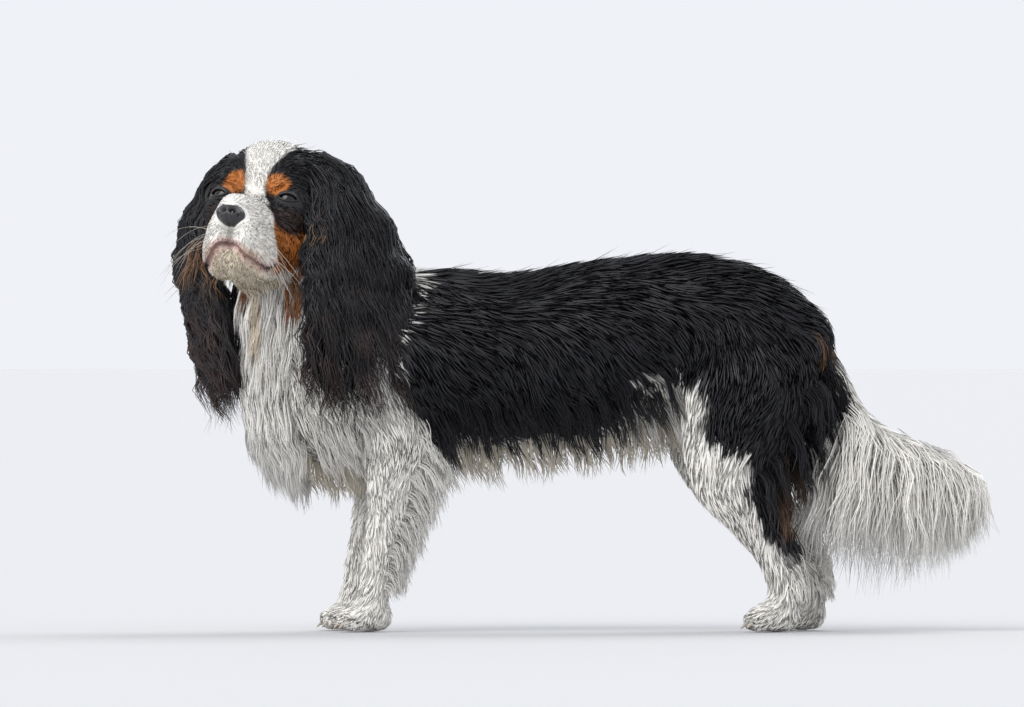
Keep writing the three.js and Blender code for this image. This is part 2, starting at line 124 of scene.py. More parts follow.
# A stretch of body through stations [x, y, z, half width, half depth]. Its width lies along `across`,
# and angle 90 degrees on its section is the side of the back.
class Stretch:
    def __init__(self, stations, across=(0, 1, 0)):
        self.stations = np.array(stations, float)
        self.across = np.array(across, float)

    def values(self, t):
        rows = self.stations
        padded = np.vstack([2 * rows[0] - rows[1], rows, 2 * rows[-1] - rows[-2]])
        place = np.clip(np.atleast_1d(t), 0, 1) * (len(rows) - 1)
        i = np.minimum(place.astype(int), len(rows) - 2)
        w = (place - i)[:, None]
        a, b, c, d = padded[i], padded[i + 1], padded[i + 2], padded[i + 3]
        cubic = 1.5 * (b - c) + 0.5 * (d - a)
        return b + 0.5 * (c - a) * w + (a - 2.5 * b + 2 * c - 0.5 * d) * w**2 + cubic * w**3

    def frame(self, t):
        t = np.atleast_1d(t)
        values = self.values(t)
        ahead, behind = self.values(np.minimum(t + 1e-4, 1)), self.values(np.maximum(t - 1e-4, 0))
        along = unit(ahead[:, :3] - behind[:, :3])
        side = unit(self.across - along * (along @ self.across)[:, None])
        up = np.cross(along, side)
        return values[:, :3], along, side, up, values[:, 3], values[:, 4]

    def at(self, t, angle):
        centre, _, side, up, wide, deep = self.frame(t)
        aside = side * (np.cos(angle) * wide)[:, None]
        return centre + aside + up * (np.sin(angle) * deep)[:, None]

    def normal(self, t, angle):
        _, _, side, up, wide, deep = self.frame(t)
        return unit(side * (np.cos(angle) * deep)[:, None] + up * (np.sin(angle) * wide)[:, None])


TORSO = Stretch([
    [-229, 0, 211, 13, 20],
    [-219, 0, 211, 31, 42],
    [-200, 0, 212, 47, 60],
    [-170, 0, 214, 58, 74],
    [-140, 0, 219, 64, 80],
    [-102, 0, 226, 69, 83],
    [-51, 0, 231, 70, 77],
    [0, 0, 232, 69, 73],
    [51, 0, 238, 67, 75],
    [102, 0, 247, 63, 73],
    [153, 0, 253, 61, 69],
    [200, 0, 250, 58, 58],
    [236, 0, 240, 45, 40],
])
NECK = Stretch([
    [-201, 20, 348, 38, 36],
    [-192, 10, 318, 46, 50],
    [-178, 3, 288, 52, 62],
    [-164, 0, 256, 56, 70],
    [-152, 0, 228, 54, 70],
])
TAIL = Stretch([
    [244, 0, 250, 15, 15],
    [264, 0, 216, 15, 15],
    [282, 0, 184, 15, 14],
    [306, 0, 164, 14, 13],
    [334, 0, 152, 12, 12],
    [355, 0, 142, 9, 10],
    [368, 0, 128, 6, 7],
])
LEFT_EAR = Stretch(
    [
        [-178, -8, 405, 16, 10],
        [-160, -26, 382, 24, 12],
        [-148, -44, 348, 32, 13],
        [-142, -58, 316, 40, 12],
        [-139, -67, 288, 40, 8],
    ],
    (0.92, 0.39, 0),
)
RIGHT_EAR = Stretch(
    [
        [-242, 14, 402, 16, 10],
        [-261, 20, 374, 22, 12],
        [-273, 22, 342, 28, 13],
        [-276, 20, 314, 34, 12],
        [-273, 18, 290, 32, 8],
    ],
    (0.39, -0.92, 0),
)


def foreleg_of(sign, step):
    return Stretch([
        [FORE_PAW_X + 22 + step * 0.2, sign * (FORE_TRACK - 2), 200, 20, 30],
        [FORE_PAW_X + 27 + step * 0.5, sign * (FORE_TRACK + 2), 158, 25, 33],
        [FORE_PAW_X + 22 + step * 0.8, sign * (FORE_TRACK + 1), 118, 19, 23],
        [FORE_PAW_X + 14 + step, sign * FORE_TRACK, 78, 15.5, 16.5],
        [FORE_PAW_X + 7 + step, sign * FORE_TRACK, 42, 14.5, 15],
        [FORE_PAW_X + 3 + step, sign * FORE_TRACK, 20, 15, 15],
    ])


def hind_leg_of(sign, step):
    return Stretch([
        [HIND_PAW_X - 10, sign * (HIND_TRACK - 12), 250, 26, 42],
        [HIND_PAW_X - 18, sign * (HIND_TRACK - 8), 212, 36, 60],
        [HIND_PAW_X - 30 - step * 0.4, sign * (HIND_TRACK - 4), 168, 32, 53],
        [HIND_PAW_X - 34 + step * 0.1, sign * HIND_TRACK, 130, 23, 37],
        [HIND_PAW_X - 16 + step * 0.6, sign * HIND_TRACK, 96, 17, 23],
        [HIND_PAW_X + 3 + step, sign * HIND_TRACK, 64, 14, 17],
        [HIND_PAW_X + 9 + step, sign * HIND_TRACK, 38, 13, 14],
        [HIND_PAW_X + 8 + step, sign * HIND_TRACK, 18, 14, 14],
    ])


LEFT_FORELEG = foreleg_of(-1, 0)
RIGHT_FORELEG = foreleg_of(1, FAR_FORE_STEP)
LEFT_HIND_LEG = hind_leg_of(-1, 0)
RIGHT_HIND_LEG = hind_leg_of(1, FAR_HIND_STEP)
PAWS = [
    (FORE_PAW_X, -FORE_TRACK),
    (FORE_PAW_X + FAR_FORE_STEP, FORE_TRACK),
    (HIND_PAW_X, -HIND_TRACK),
    (HIND_PAW_X + FAR_HIND_STEP, HIND_TRACK),
]
PAW_LENGTH = 50
TOE_RADIUS = 8.5

# Masses that blend into the head: centre, radii, on both sides or once
HEAD_MASSES = [
    ((-46, 0, 20), (49, 50, 46), False),  # brain case
    ((-22, 0, 26), (25, 37, 31), False),  # forehead
    ((-13, 18, 17), (16, 15, 13), True),  # brows
    ((-16, 29, -4), (20, 19, 21), True),  # cheekbones
    ((-30, 27, -24), (31, 21, 29), True),  # cheeks
    ((-2, 0, -28), (32, 31, 24), False),  # face filled out under the eyes
    ((14, 0, -25), (32, 19, 18), False),  # bridge of the muzzle
    ((19, 12.5, -49), (23, 13.5, 25), True),  # flews
    ((4, 20, -55), (23, 14.5, 22), True),  # corners of the mouth
    ((0, 0, -63), (31, 15, 17), False),  # lower jaw
    ((-41, 0, -40), (40, 34, 33), False),  # throat
]
HEAD_BLEND = 8
NOSE_AT = np.array([37.5, 0.0, -32.5])
NOSE_SIZE = np.array([10.0, 13.0, 9.5])
MOUTH_POINTS = [[41, 0, -57], [39, 9, -61], [33, 16, -68], [27, 20.5, -71], [19, 25, -72], [6, 32, -70]]


def ellipsoid_distance(p, centre, size):
    q = p - np.asarray(centre, float)
    size = np.asarray(size, float)
    scaled = np.linalg.norm(q / size, axis=-1)
    slope = np.linalg.norm(q / size**2, axis=-1)
    return np.where(slope < 1e-9, -size.min(), scaled * (scaled - 1) / np.maximum(slope, 1e-9))


def blend(a, b, width):
    mix = np.clip(0.5 + (a - b) / (2 * width), 0, 1)
    return a + (b - a) * mix - width * mix * (1 - mix)


def folded(p):
    return np.stack([p[:, 0], np.abs(p[:, 1]), p[:, 2]], axis=-1)


def coat_depth_on_head(p):
    """How deep the fur lies at a point of the head: thin on the muzzle, deeper over the skull."""
    return 1.2 + 3.4 * smoothstep(0, -60, p[:, 0]) * smoothstep(-50, 10, p[:, 2] + 20)


def distance_to_line(p, line):
    best = np.full(len(p), 1e9)
    for a, b in zip(line[:-1], line[1:]):
        t = np.clip(((p - a) @ (b - a)) / ((b - a) @ (b - a)), 0, 1)
        best = np.minimum(best, np.linalg.norm(p - a - t[:, None] * (b - a), axis=-1))
    return best


# The opening between the lids, as directions from an eye's centre
EYE_LOOK_OUT = 20 * DEG
SLIT_HALF_WIDTH = 44 * DEG
SLIT_UP = 18 * DEG
SLIT_DOWN = 14 * DEG
LID_RADIUS = EYE_RADIUS + 1.6
EYE_REACH = 30  # nothing further from an eye's centre belongs to its lids


def slit_edge(across):
    """Upper and lower edge of the opening, in radians, at an angle across it."""
    arc = np.clip(1 - (across / SLIT_HALF_WIDTH) ** 2, 0, None)
    return SLIT_UP * arc**0.7, -SLIT_DOWN * arc


def eye_angles(p):
    """Angles across and up, and the distance, of head points seen from the eye of their side."""
    q = folded(p) - np.array([-EYE_BACK, EYE_SPACING, 0])
    turned_x = q[:, 0] * math.cos(EYE_LOOK_OUT) + q[:, 1] * math.sin(EYE_LOOK_OUT)
    turned_y = -q[:, 0] * math.sin(EYE_LOOK_OUT) + q[:, 1] * math.cos(EYE_LOOK_OUT)
    across = np.arctan2(turned_y, turned_x)
    up = np.arctan2(q[:, 2], np.hypot(turned_x, turned_y))
    return across, up, np.linalg.norm(q, axis=-1)


def in_slit(p):
    across, up, distance = eye_angles(p)
    high, low = slit_edge(across)
    return (up < high) & (up > low) & (np.abs(across) < SLIT_HALF_WIDTH) & (distance < EYE_REACH)


def eye_rim(p):
    """1 at the edge of the dark rim round an eye, and less inside it."""
    across, up, distance = eye_angles(p)
    rim = np.hypot(across / (SLIT_HALF_WIDTH + 0.22), up / (SLIT_UP + 0.2))
    return np.where(distance < 17, rim, 9.0)


def head_distance(p, details=True):
    """Signed distance in millimetres to the skin of the head, negative inside."""
    both = folded(p)
    nearest = np.full(len(p), 1e3)
    for centre, size, paired in HEAD_MASSES:
        nearest = blend(nearest, ellipsoid_distance(both if paired else p, centre, size), HEAD_BLEND)
    nearest = nearest + coat_depth_on_head(p)
    if details:
        lid = ellipsoid_distance(both, (-EYE_BACK, EYE_SPACING, 0), (LID_RADIUS,) * 3)
        nearest = blend(nearest, lid, 1.5)
        depth = 1.5 + 3 * smoothstep(5, 14, both[:, 1])
        crease = depth * np.exp(-(distance_to_line(both, MOUTH_LINE + (-1, 0, -1)) / 2.6) ** 2)
        crease = crease - 1.6 * np.exp(-(distance_to_line(both, MOUTH_LINE + (1, 0, 3)) / 3) ** 2)
        below_nose = distance_to_line(p, np.array([[46, 0, -40], [41, 0, -56]], float))
        nearest = nearest + crease + 1.2 * np.exp(-(below_nose / 1.4) ** 2)
        around_nose = ellipsoid_distance(p, NOSE_AT, NOSE_SIZE - 1.5)
        nearest = np.maximum(nearest, -around_nose)
    return nearest


def onto_head(p, rounds=4, details=True, freedom=1.0):
    for _ in range(rounds):
        d = head_distance(p, details)
        slope = np.stack([head_distance(p + step, details) - d for step in np.eye(3) * 0.2], axis=-1) / 0.2
        slope = slope * freedom
        p = p - slope * (d / np.maximum((slope**2).sum(-1), 0.2))[:, None]
    return p


def line_on_head(points, steps=6):
    """A polyline through the points, drawn on the skin of the head."""
    points = np.array(points, float)
    share = np.linspace(0, len(points) - 1, (len(points) - 1) * steps + 1)
    fine = np.column_stack([np.interp(share, np.arange(len(points)), points[:, k]) for k in range(3)])
    return onto_head(fine, 8, False, np.array([1.0, 0.0, 1.0]))


MOUTH_LINE = line_on_head(MOUTH_POINTS)


# Meshes
def object_from(bm, name):
    mesh = bpy.data.meshes.new(name)
    bm.to_mesh(mesh)
    bm.free()
    for polygon in mesh.polygons:
        polygon.use_smooth = True
    obj = bpy.data.objects.new(name, mesh)
    bpy.context.scene.collection.objects.link(obj)
    return obj


def add_stretch(bm, stretch, inset, steps, sides=24):
    """A closed tube along a stretch, `inset` millimetres inside its surface."""
    rings = []
    ends = [(0, 60), (0, 30)] + [(i / steps, 0) for i in range(steps + 1)] + [(1, 30), (1, 60)]
    for t, tilt in ends:
        centre, along, side, up, wide, deep = (v[0] for v in stretch.frame(t))
        cap = min(wide, deep) * 0.8 - inset
        share = math.cos(tilt * DEG)
        push = math.sin(tilt * DEG) * cap * (-1 if t == 0 else 1)
        columns = [side * (wide - inset) * share * MM, up * (deep - inset) * share * MM, along * MM]
        place = Matrix(np.column_stack(columns).tolist()).to_4x4()
        place.translation = Vector(to_world(centre + along * push))
        ring = bmesh.ops.create_circle(bm, segments=sides, radius=1, matrix=place)
        rings.append({e for v in ring["verts"] for e in v.link_edges})
    for a, b in zip(rings, rings[1:]):
        bmesh.ops.bridge_loops(bm, edges=list(a | b))
    for ring in (rings[0], rings[-1]):
        bmesh.ops.edgeloop_fill(bm, edges=list(ring))


def add_ball(bm, centre, size, axes=None):
    """A ball of three radii in millimetres."""
    turn = np.eye(3) if axes is None else axes
    place = Matrix((turn.T * np.asarray(size) * MM).tolist()).to_4x4()
    place.translation = Vector(to_world(centre))
    bmesh.ops.create_uvsphere(bm, u_segments=24, v_segments=16, radius=1, matrix=place)


# How far the skin lies inside the outline of the coat, in millimetres
COAT_DEPTH = {"torso": 4.5, "neck": 6, "tail": 3, "ear": 2.5, "leg": 3, "paw": 1.6}
SKIN_VOXEL = 0.00335  # mesh size of the skin in metres, before the head is made finer


def rough_body():
    """The body as tubes and balls that run into one another."""
    bm = bmesh.new()
    add_stretch(bm, TORSO, COAT_DEPTH["torso"], 30, 32)
    add_stretch(bm, NECK, COAT_DEPTH["neck"], 14)
    add_stretch(bm, TAIL, COAT_DEPTH["tail"], 20)
    for ear in (LEFT_EAR, RIGHT_EAR):
        add_stretch(bm, ear, COAT_DEPTH["ear"], 14)
    for leg in (LEFT_FORELEG, RIGHT_FORELEG, LEFT_HIND_LEG, RIGHT_HIND_LEG):
        add_stretch(bm, leg, COAT_DEPTH["leg"], 18)
    for x, y in PAWS:
        inset = COAT_DEPTH["paw"]
        add_ball(bm, (x + 2, y, 13), np.array([PAW_LENGTH * 0.42, 16, 15]) - inset)
        for place in (-1.5, -0.5, 0.5, 1.5):
            reach = PAW_LENGTH * (0.4 - 0.045 * place * place)
            size = np.array([14, TOE_RADIUS * 0.72, TOE_RADIUS + 1.5]) - inset * 0.6
            add_ball(bm, (x - reach + 6, y + place * TOE_RADIUS, 9.5), size)
    for centre, size, paired in HEAD_MASSES:
        for sign in (1, -1) if paired else (1,):
            at = from_head(np.array(centre, float) * (1, sign, 1))
            add_ball(bm, at, np.array(size) - 1.5, HEAD_AXES)
    return object_from(bm, "rough_body")


def remeshed(obj, voxel):
    """One closed surface round an object's pieces."""
    modifier = obj.modifiers.new("Remesh", "REMESH")
    modifier.mode = "VOXEL"
    modifier.voxel_size = voxel
    evaluated = obj.evaluated_get(bpy.context.evaluated_depsgraph_get())
    bm = bmesh.new()
    bm.from_mesh(evaluated.to_mesh())
    evaluated.to_mesh_clear()
    bpy.data.objects.remove(obj)
    return bm


def plan_points(bm):
    co = np.array([v.co for v in bm.verts])
    return (co - SHIFT) / MM


def move_to(bm, points):
    for v, p in zip(bm.verts, to_world(points)):
        v.co = p


def head_share(points):
    """1 where the surface belongs to the head, falling to 0 into the neck and the ears."""
    local = in_head(points)
    near = 1 - smoothstep(5, 12, np.abs(head_distance(local, False)))
    others = np.stack([stretch_place(s, points)[2] for s in (NECK, LEFT_EAR, RIGHT_EAR)])
    apart = smoothstep(1, 9, np.abs(others).min(0))
    return near * np.where(local[:, 0] > -25, 1, apart)


def stretch_place(stretch, points, samples=48):
    """For each point: share of the length, angle round the section, and distance to the surface."""
    t = np.linspace(0, 1, samples)
    centre, along, side, up, wide, deep = stretch.frame(t)
    best = np.full(len(points), 1e9)
    pick = np.zeros(len(points), int)
    for k in range(samples):
        d = points - centre[k]
        gap = np.abs(d @ along[k]) + 0.02 * np.linalg.norm(d, axis=-1)
        closer = gap < best
        best[closer] = gap[closer]
        pick[closer] = k
    d = points - centre[pick]
    a = (d * side[pick]).sum(-1)
    b = (d * up[pick]).sum(-1)
    radial = np.hypot(a / wide[pick], b / deep[pick])
    angle = np.arctan2(b / deep[pick], a / wide[pick])
    away = (radial - 1) * np.minimum(wide[pick], deep[pick])
    beyond = np.abs((d * along[pick]).sum(-1))
    return t[pick], angle, np.where(beyond > 6, np.hypot(np.maximum(away, 0), beyond), away)


def make_skin():
    """The whole body's skin, finer on the head and finest on the face, with the eyes' openings sunk in."""
    bm = remeshed(rough_body(), SKIN_VOXEL)
    every_axis = {"use_axis_x": True, "use_axis_y": True, "use_axis_z": True}
    for _ in range(5):
        bmesh.ops.smooth_vert(bm, verts=bm.verts, factor=0.5, **every_axis)
    for zone in ("head", "face"):
        points = plan_points(bm)
        local = in_head(points)
        chosen = head_share(points) > 0.3
        if zone == "face":
            chosen &= (local[:, 0] > -22) & (np.abs(local[:, 1]) < 46)
        bm.verts.ensure_lookup_table()
        picked = set(np.flatnonzero(chosen).tolist())
        edges = [e for e in bm.edges if e.verts[0].index in picked and e.verts[1].index in picked]
        bmesh.ops.subdivide_edges(bm, edges=edges, cuts=1, use_grid_fill=True)
        bm.verts.index_update()
        points = plan_points(bm)
        share = head_share(points)[:, None]
        moved = from_head(onto_head(in_head(points), details=zone == "face"))
        move_to(bm, points + (moved - points) * share)
    points = plan_points(bm)
    local = in_head(points)
    hole = in_slit(local) & (head_share(points) > 0.5)
    sign = np.where(local[:, 1] > 0, 1, -1)
    centre = np.stack([np.full(len(local), -EYE_BACK), sign * EYE_SPACING, np.zeros(len(local))], axis=-1)
    sunk = centre + unit(local - centre) * (EYE_RADIUS - 3)
    move_to(bm, from_head(np.where(hole[:, None], sunk, local)))
    flat = np.maximum(plan_points(bm)[:, 2], 0.4)
    for v, z in zip(bm.verts, flat):
        v.co.z = z * MM + SHIFT[2]
    bmesh.ops.recalc_face_normals(bm, faces=bm.faces)
    return object_from(bm, "skin")


skin = make_skin()


# Markings: white, tan and black, with painted shade under the chin, worked out from a place on the body, and
# used by skin and coat alike

def linear(hex_colour):
    parts = np.array([int(hex_colour[i : i + 2], 16) for i in (1, 3, 5)]) / 255
    return np.where(parts <= 0.04045, parts / 12.92, ((parts + 0.055) / 1.055) ** 2.4)


BLACK = linear("#111116")
EAR_BROWN = linear("#251613")
TAN = linear("#c2732e")
PALE_TAN = linear("#cd9058")
BAG_BROWN = linear("#33201a")
HOCK_BROWN = linear("#8a6448")
STREAK_TAN = linear("#8a6a50")
WHITE = linear("#f5f2ec")
# painted shade: the white chin in the shade of the flews, with a painted reflected tint
CHIN_PAINTED_SHADE = linear("#d6c8b0")
CREAM = linear("#e6ddcc")
LIP_PINK = linear("#cfaaa0")
LIP_BROWN = linear("#6e4a42")
RIM_DARK = linear("#171213")

WAVES = rng.normal(size=(14, 3))
WAVE_STARTS = rng.uniform(0, 2 * math.pi, 14)


def ripple(points, size, first=0):
    """A smooth random pattern between about -1 and 1, with patches of `size` millimetres."""
    pick = slice(first % 7, first % 7 + 7)
    return np.sin(points @ WAVES[pick].T * (3.0 / size) + WAVE_STARTS[pick]).sum(-1) / 3


def mix(a, b, share):
    return a + (b - a) * share[:, None]


# Where white meets black on the side of the body: height, and how far back the white reaches
SHOULDER_EDGE = np.array([
    [130, -62], [150, -68], [172, -77], [202, -97], [240, -100], [270, -84], [300, -74],
])
THIGH_EDGE = np.array([
    [30, 262], [48, 240], [65, 221], [87, 204], [112, 194], [130, 196], [149, 192], [155, 166],
    [163, 156], [200, 157], [214, 146],
])
# Half width of the blaze against height between and below the eyes, and against place over the skull
BLAZE_BELOW = np.array([[-66, 29], [-42, 24], [-10, 17], [0, 10], [6, 9]])
BLAZE_BEHIND = np.array([[-90, 6], [-62, 14], [-30, 20], [-10, 19]])
MUZZLE_BACK = np.array([[-66, 3], [-42, 7], [-10, 9], [2, 16]])  # height, and where its white begins
BROW_AT = np.array([20, 12])
BROW_SIZE = np.array([11, 10.5])
BAG_AT = (-8, 33, -19)
BAG_SIZE = (20, 17, 12)
FLECKS = [((-17, 0, 305), 9), ((176, 0, 322), 11), ((-92, 0, 322), 20)]  # white on the back: place, radius
VENT_AT = (259, 0, 226)
VENT_SIZE = (8, 60, 13)
HOCK_AT = (228, 0, 118)
HOCK_SIZE = (19, 80, 30)


def nearness(points, centre, size):
    """0 at a spot's centre and 1 on its edge."""
    return np.linalg.norm((points - centre) / size, axis=-1)


def on_head(points):
    """White, tan and dark brown on the head."""
    p = folded(in_head(points) + ripple(points, 9)[:, None] * 0.9)
    x, y, z = p[:, 0], p[:, 1], p[:, 2]
    top = 9 + 11 * smoothstep(8, 50, z) ** 1.4
    half = np.where(x < -40, np.interp(x, BLAZE_BEHIND[:, 0], BLAZE_BEHIND[:, 1]), top)
    half = np.where(z < 6, np.interp(z, BLAZE_BELOW[:, 0], BLAZE_BELOW[:, 1]), half)
    white = smoothstep(2, -2, y - half)
    muzzle_back = np.interp(z, MUZZLE_BACK[:, 0], MUZZLE_BACK[:, 1])
    white = np.maximum(white, smoothstep(-2, 2, x - muzzle_back) * (z < 4))
    chin = smoothstep(2, -4, z + 62 + 0.4 * np.maximum(y - 14, 0)) * smoothstep(70, 60, y)
    white = np.maximum(white, chin)
    brow = nearness(p[:, 1:], BROW_AT, BROW_SIZE)
    tan = smoothstep(1.15, 0.75, brow) * smoothstep(-30, -18, x)
    cheek = smoothstep(-16, -25, z + 0.1 * x) * smoothstep(-56, -40, x) * smoothstep(62, 52, y)
    bag = smoothstep(1.2, 0.7, nearness(p, BAG_AT, BAG_SIZE))
    return white, np.maximum(tan, cheek * 0.85 * (1 - bag)), bag


def on_body(points):
    """White and tan on the trunk, the legs and the tail."""
    x, y, z = points.T
    ragged = ripple(points, 16) * 5 + ripple(points, 5, 3) * 2
    front = smoothstep(4, -4, x - np.interp(z, SHOULDER_EDGE[:, 0], SHOULDER_EDGE[:, 1]) + ragged)
    thigh = np.where(z < 216, np.interp(z, THIGH_EDGE[:, 0], THIGH_EDGE[:, 1]), -200)
    rear = smoothstep(4, -4, x - thigh + ragged) * (x > 60)
    rear = rear * smoothstep(222, 208, z + ragged + np.maximum(0, 135 - x) * 0.6)
    belly = smoothstep(176, 168, z + ragged * 0.6 + np.abs(y) * 0.35 - np.maximum(0, x - 60) * 0.08)
    belly = belly * (x < 150)
    foot = smoothstep(38, 28, z)
    plume = smoothstep(266, 278, x + (200 - z) * 0.3 + ragged)
    white = np.maximum.reduce([front, rear, belly, foot, plume])
    for centre, size in FLECKS:
        white = np.maximum(white, smoothstep(1.2, 0.7, nearness(points, centre, size)))
    vent = smoothstep(1.3, 0.6, nearness(points, VENT_AT, VENT_SIZE))
    hock = smoothstep(1.3, 0.5, nearness(points, HOCK_AT, HOCK_SIZE))
    return white, np.maximum(vent * 0.8, hock) * (1 + 0.3 * ripple(points, 5, 2))


EARS = ("left_ear", "right_ear")


def blended(colour, other, share):
    """Rows of colour moved towards one other colour."""
    return mix(colour, np.tile(other, (len(colour), 1)), np.clip(share, 0, 1))


def coat_colour(points, part_of):
    """The coat's colour at places on the body, each with the name of its part."""
    colour = np.tile(BLACK, (len(points), 1))
    head = part_of == "head"
    ear = np.isin(part_of, EARS)
    white, tan = on_body(points)
    head_white, head_tan, bag = on_head(points)
    white = np.where(head, head_white, np.where(part_of == "neck", 1, white))
    tan = np.where(head, head_tan, tan)
    colour[ear] = blended(colour[ear], EAR_BROWN, smoothstep(-10, -70, in_head(points[ear])[:, 2]))
    white = np.where(ear, 0, white)
    tan = np.where(ear, 0, tan)
    paler = smoothstep(0, 1, ripple(points, 12, 5)) * 0.3
    tan_shade = blended(np.tile(TAN, (len(points), 1)), PALE_TAN, paler)
    tan_shade = np.where(head[:, None], tan_shade, HOCK_BROWN)
    colour = mix(colour, tan_shade, np.clip(tan, 0, 1))
    colour = blended(colour, BAG_BROWN, bag * head * 0.7)
    colour = blended(colour, WHITE, white)
    local = folded(in_head(points))
    lip = distance_to_line(local, MOUTH_LINE)
    # painted shade darkens the white chin under the flews, towards its middle
    chin = smoothstep(-56, -64, local[:, 2]) * smoothstep(46, 40, local[:, 0]) * head
    colour = blended(colour, CHIN_PAINTED_SHADE, chin * smoothstep(30, 22, local[:, 1]) * 0.9)
    colour = blended(colour, LIP_PINK, smoothstep(8, 3, lip) * head * 0.7)
    colour = blended(colour, LIP_BROWN, smoothstep(3.2, 1.6, lip) * head * 0.8)
    colour = blended(colour, RIM_DARK, smoothstep(4.5, 1.5, lip) * head * smoothstep(20, 30, local[:, 1]))
    return blended(colour, RIM_DARK, smoothstep(1.15, 0.9, eye_rim(in_head(points))) * head)


# The lie of the coat, its length, the width of a tuft and how far its tip stands off the skin
PARTS = {
    "torso": TORSO,
    "neck": NECK,
    "tail": TAIL,
    "left_ear": LEFT_EAR,
    "right_ear": RIGHT_EAR,
    "left_foreleg": LEFT_FORELEG,
    "right_foreleg": RIGHT_FORELEG,
    "left_hind_leg": LEFT_HIND_LEG,
    "right_hind_leg": RIGHT_HIND_LEG,
}
PART_NAMES = np.array(list(PARTS) + ["head", "paws"])
# part: tuft length, width, tip height, tufts on a square centimetre
COAT = {
    "torso": (42, 2.6, 7, 8),
    "neck": (30, 2.6, 7, 4),
    "tail": (34, 2.4, 4, 10),
    "left_ear": (34, 2.0, 3.5, 7),
    "right_ear": (34, 2.0, 3.5, 7),
    "left_foreleg": (18, 1.9, 3.5, 12),
    "right_foreleg": (18, 1.9, 3.5, 10),
    "left_hind_leg": (26, 2.3, 5, 9),
    "right_hind_leg": (26, 2.3, 5, 7),
    "head": (10, 1.35, 3.2, 32),
    "paws": (8, 1.3, 1.6, 32),
}


def part_lies(points, places):
    """The direction in which each part's hair lies at the points."""
    lies = {}
    for name, stretch in PARTS.items():
        along = stretch.frame(places[name][0])[1]
        lies[name] = along + DOWN * 0.25
    t, angle, _ = places["torso"]
    back = smoothstep(-0.1, 0.8, np.sin(angle))[:, None]
    sweep = np.array([1.0, 0, -0.1]) * back + np.array([0.55, 0, -0.85]) * (1 - back)
    front = smoothstep(0.22, 0.08, t)[:, None]
    lies["torso"] = sweep * (1 - front) + np.array([0.1, 0, -1.0]) * front
    lies["neck"] = lies["neck"] + np.array([0.25, 0, -0.5])
    local = in_head(points)
    away = unit(local - np.array([58, 0, -22]))
    away[:, 2] -= 0.9 * smoothstep(-18, -45, local[:, 2])
    aside = smoothstep(14, 40, np.abs(local[:, 1])) * smoothstep(-10, 20, local[:, 2])
    away[:, 1] += np.sign(local[:, 1]) * aside * 0.8
    away[:, 2] -= aside * 0.7
    lies["head"] = away @ HEAD_AXES
    lies["paws"] = np.tile([-0.8, 0, -0.6], (len(points), 1))
    return lies


def body_fields(points, normals):
    """Part, lie of the coat, its sizes as in COAT, and place on the unwrap, at points of the skin."""
    places = {name: stretch_place(stretch, points) for name, stretch in PARTS.items()}
    distance = [places[name][2] for name in PARTS]
    distance.append(head_distance(in_head(points), False) - 2)
    paw = [np.linalg.norm((points - (x - 6, y, 10)) / (30, 18, 17), axis=-1) for x, y in PAWS]
    distance.append((np.minimum.reduce(paw) - 1) * 17)
    distance = np.abs(np.array(distance))
    pick = distance.argmin(0)
    share = np.exp(-(distance - distance.min(0)) / 5)
    share /= share.sum(0)
    lies = part_lies(points, places)
    lie = sum(share[k][:, None] * unit(lies[name]) for k, name in enumerate(PART_NAMES))
    side = np.cross(normals, lie)
    lie = lie + side * (ripple(points, 34) * 0.3 + ripple(points, 13, 4) * 0.12)[:, None]
    lie = unit(lie - normals * (lie * normals).sum(-1)[:, None])
    sizes = np.array([COAT[name] for name in PART_NAMES], float)
    size = share.T @ sizes
    part_of = PART_NAMES[pick]
    local = in_head(points)
    muzzle = smoothstep(-25, 12, local[:, 0]) * (part_of == "head")
    size[:, 0] *= 1 - 0.55 * muzzle
    size[:, 1] *= 1 - 0.4 * muzzle
    size[:, 2] *= 1 - 0.6 * muzzle
    size[:, 3] *= 1 + 0.9 * muzzle
    lip = distance_to_line(folded(local), MOUTH_LINE)
    on_nose_skin = ellipsoid_distance(local, NOSE_AT, NOSE_SIZE) < 0.5
    bare = (eye_rim(local) < 1.0) | on_nose_skin | (lip < 2.4)
    size[:, 3] *= ~(bare & (part_of == "head"))
    size[:, 0] *= np.where(part_of == "head", np.interp(lip, [2, 10], [0.5, 1]), 1)
    beside = smoothstep(16, 34, np.abs(local[:, 1])) * smoothstep(0, 16, local[:, 2])
    beside = beside * (part_of == "head")
    size[:, 0] *= 1 + 1.4 * beside
    size[:, 1] *= 1 + 0.4 * beside
    return part_of, lie, size, bake_places(points, part_of, places)


def bake_places(points, part_of, places):
    """The unwrap of the skin: one tile for a part, round it in u and along it in v."""
    uv = np.zeros((len(points), 2))
    for k, name in enumerate(PART_NAMES):
        here = part_of == name
        if name in PARTS:
            t, angle, _ = places[name]
            flat = np.stack([angle / (2 * math.pi) + 0.5, t], axis=-1)
        elif name == "head":
            local = unit(in_head(points) - np.array([-20, 0, -15]))
            turn = np.arctan2(local[:, 1], local[:, 0]) / (2 * math.pi) + 0.5
            flat = np.stack([turn, np.arccos(np.clip(local[:, 2], -1, 1)) / math.pi], axis=-1)
        else:
            near = np.argmin([np.hypot(points[:, 0] - x, points[:, 1] - y) for x, y in PAWS], axis=0)
            centre = np.array(PAWS)[near]
            flat = np.stack([
                (near % 2) * 0.5 + 0.25 + (points[:, 0] - centre[:, 0]) / 160,
                (near // 2) * 0.5 + 0.25 + (points[:, 1] - centre[:, 1]) / 160,
            ], axis=-1)
        tile = np.array([k % 4, k // 4])
        uv[here] = (tile + 0.03 + 0.94 * np.clip(flat[here], 0, 1)) / 4
    return uv


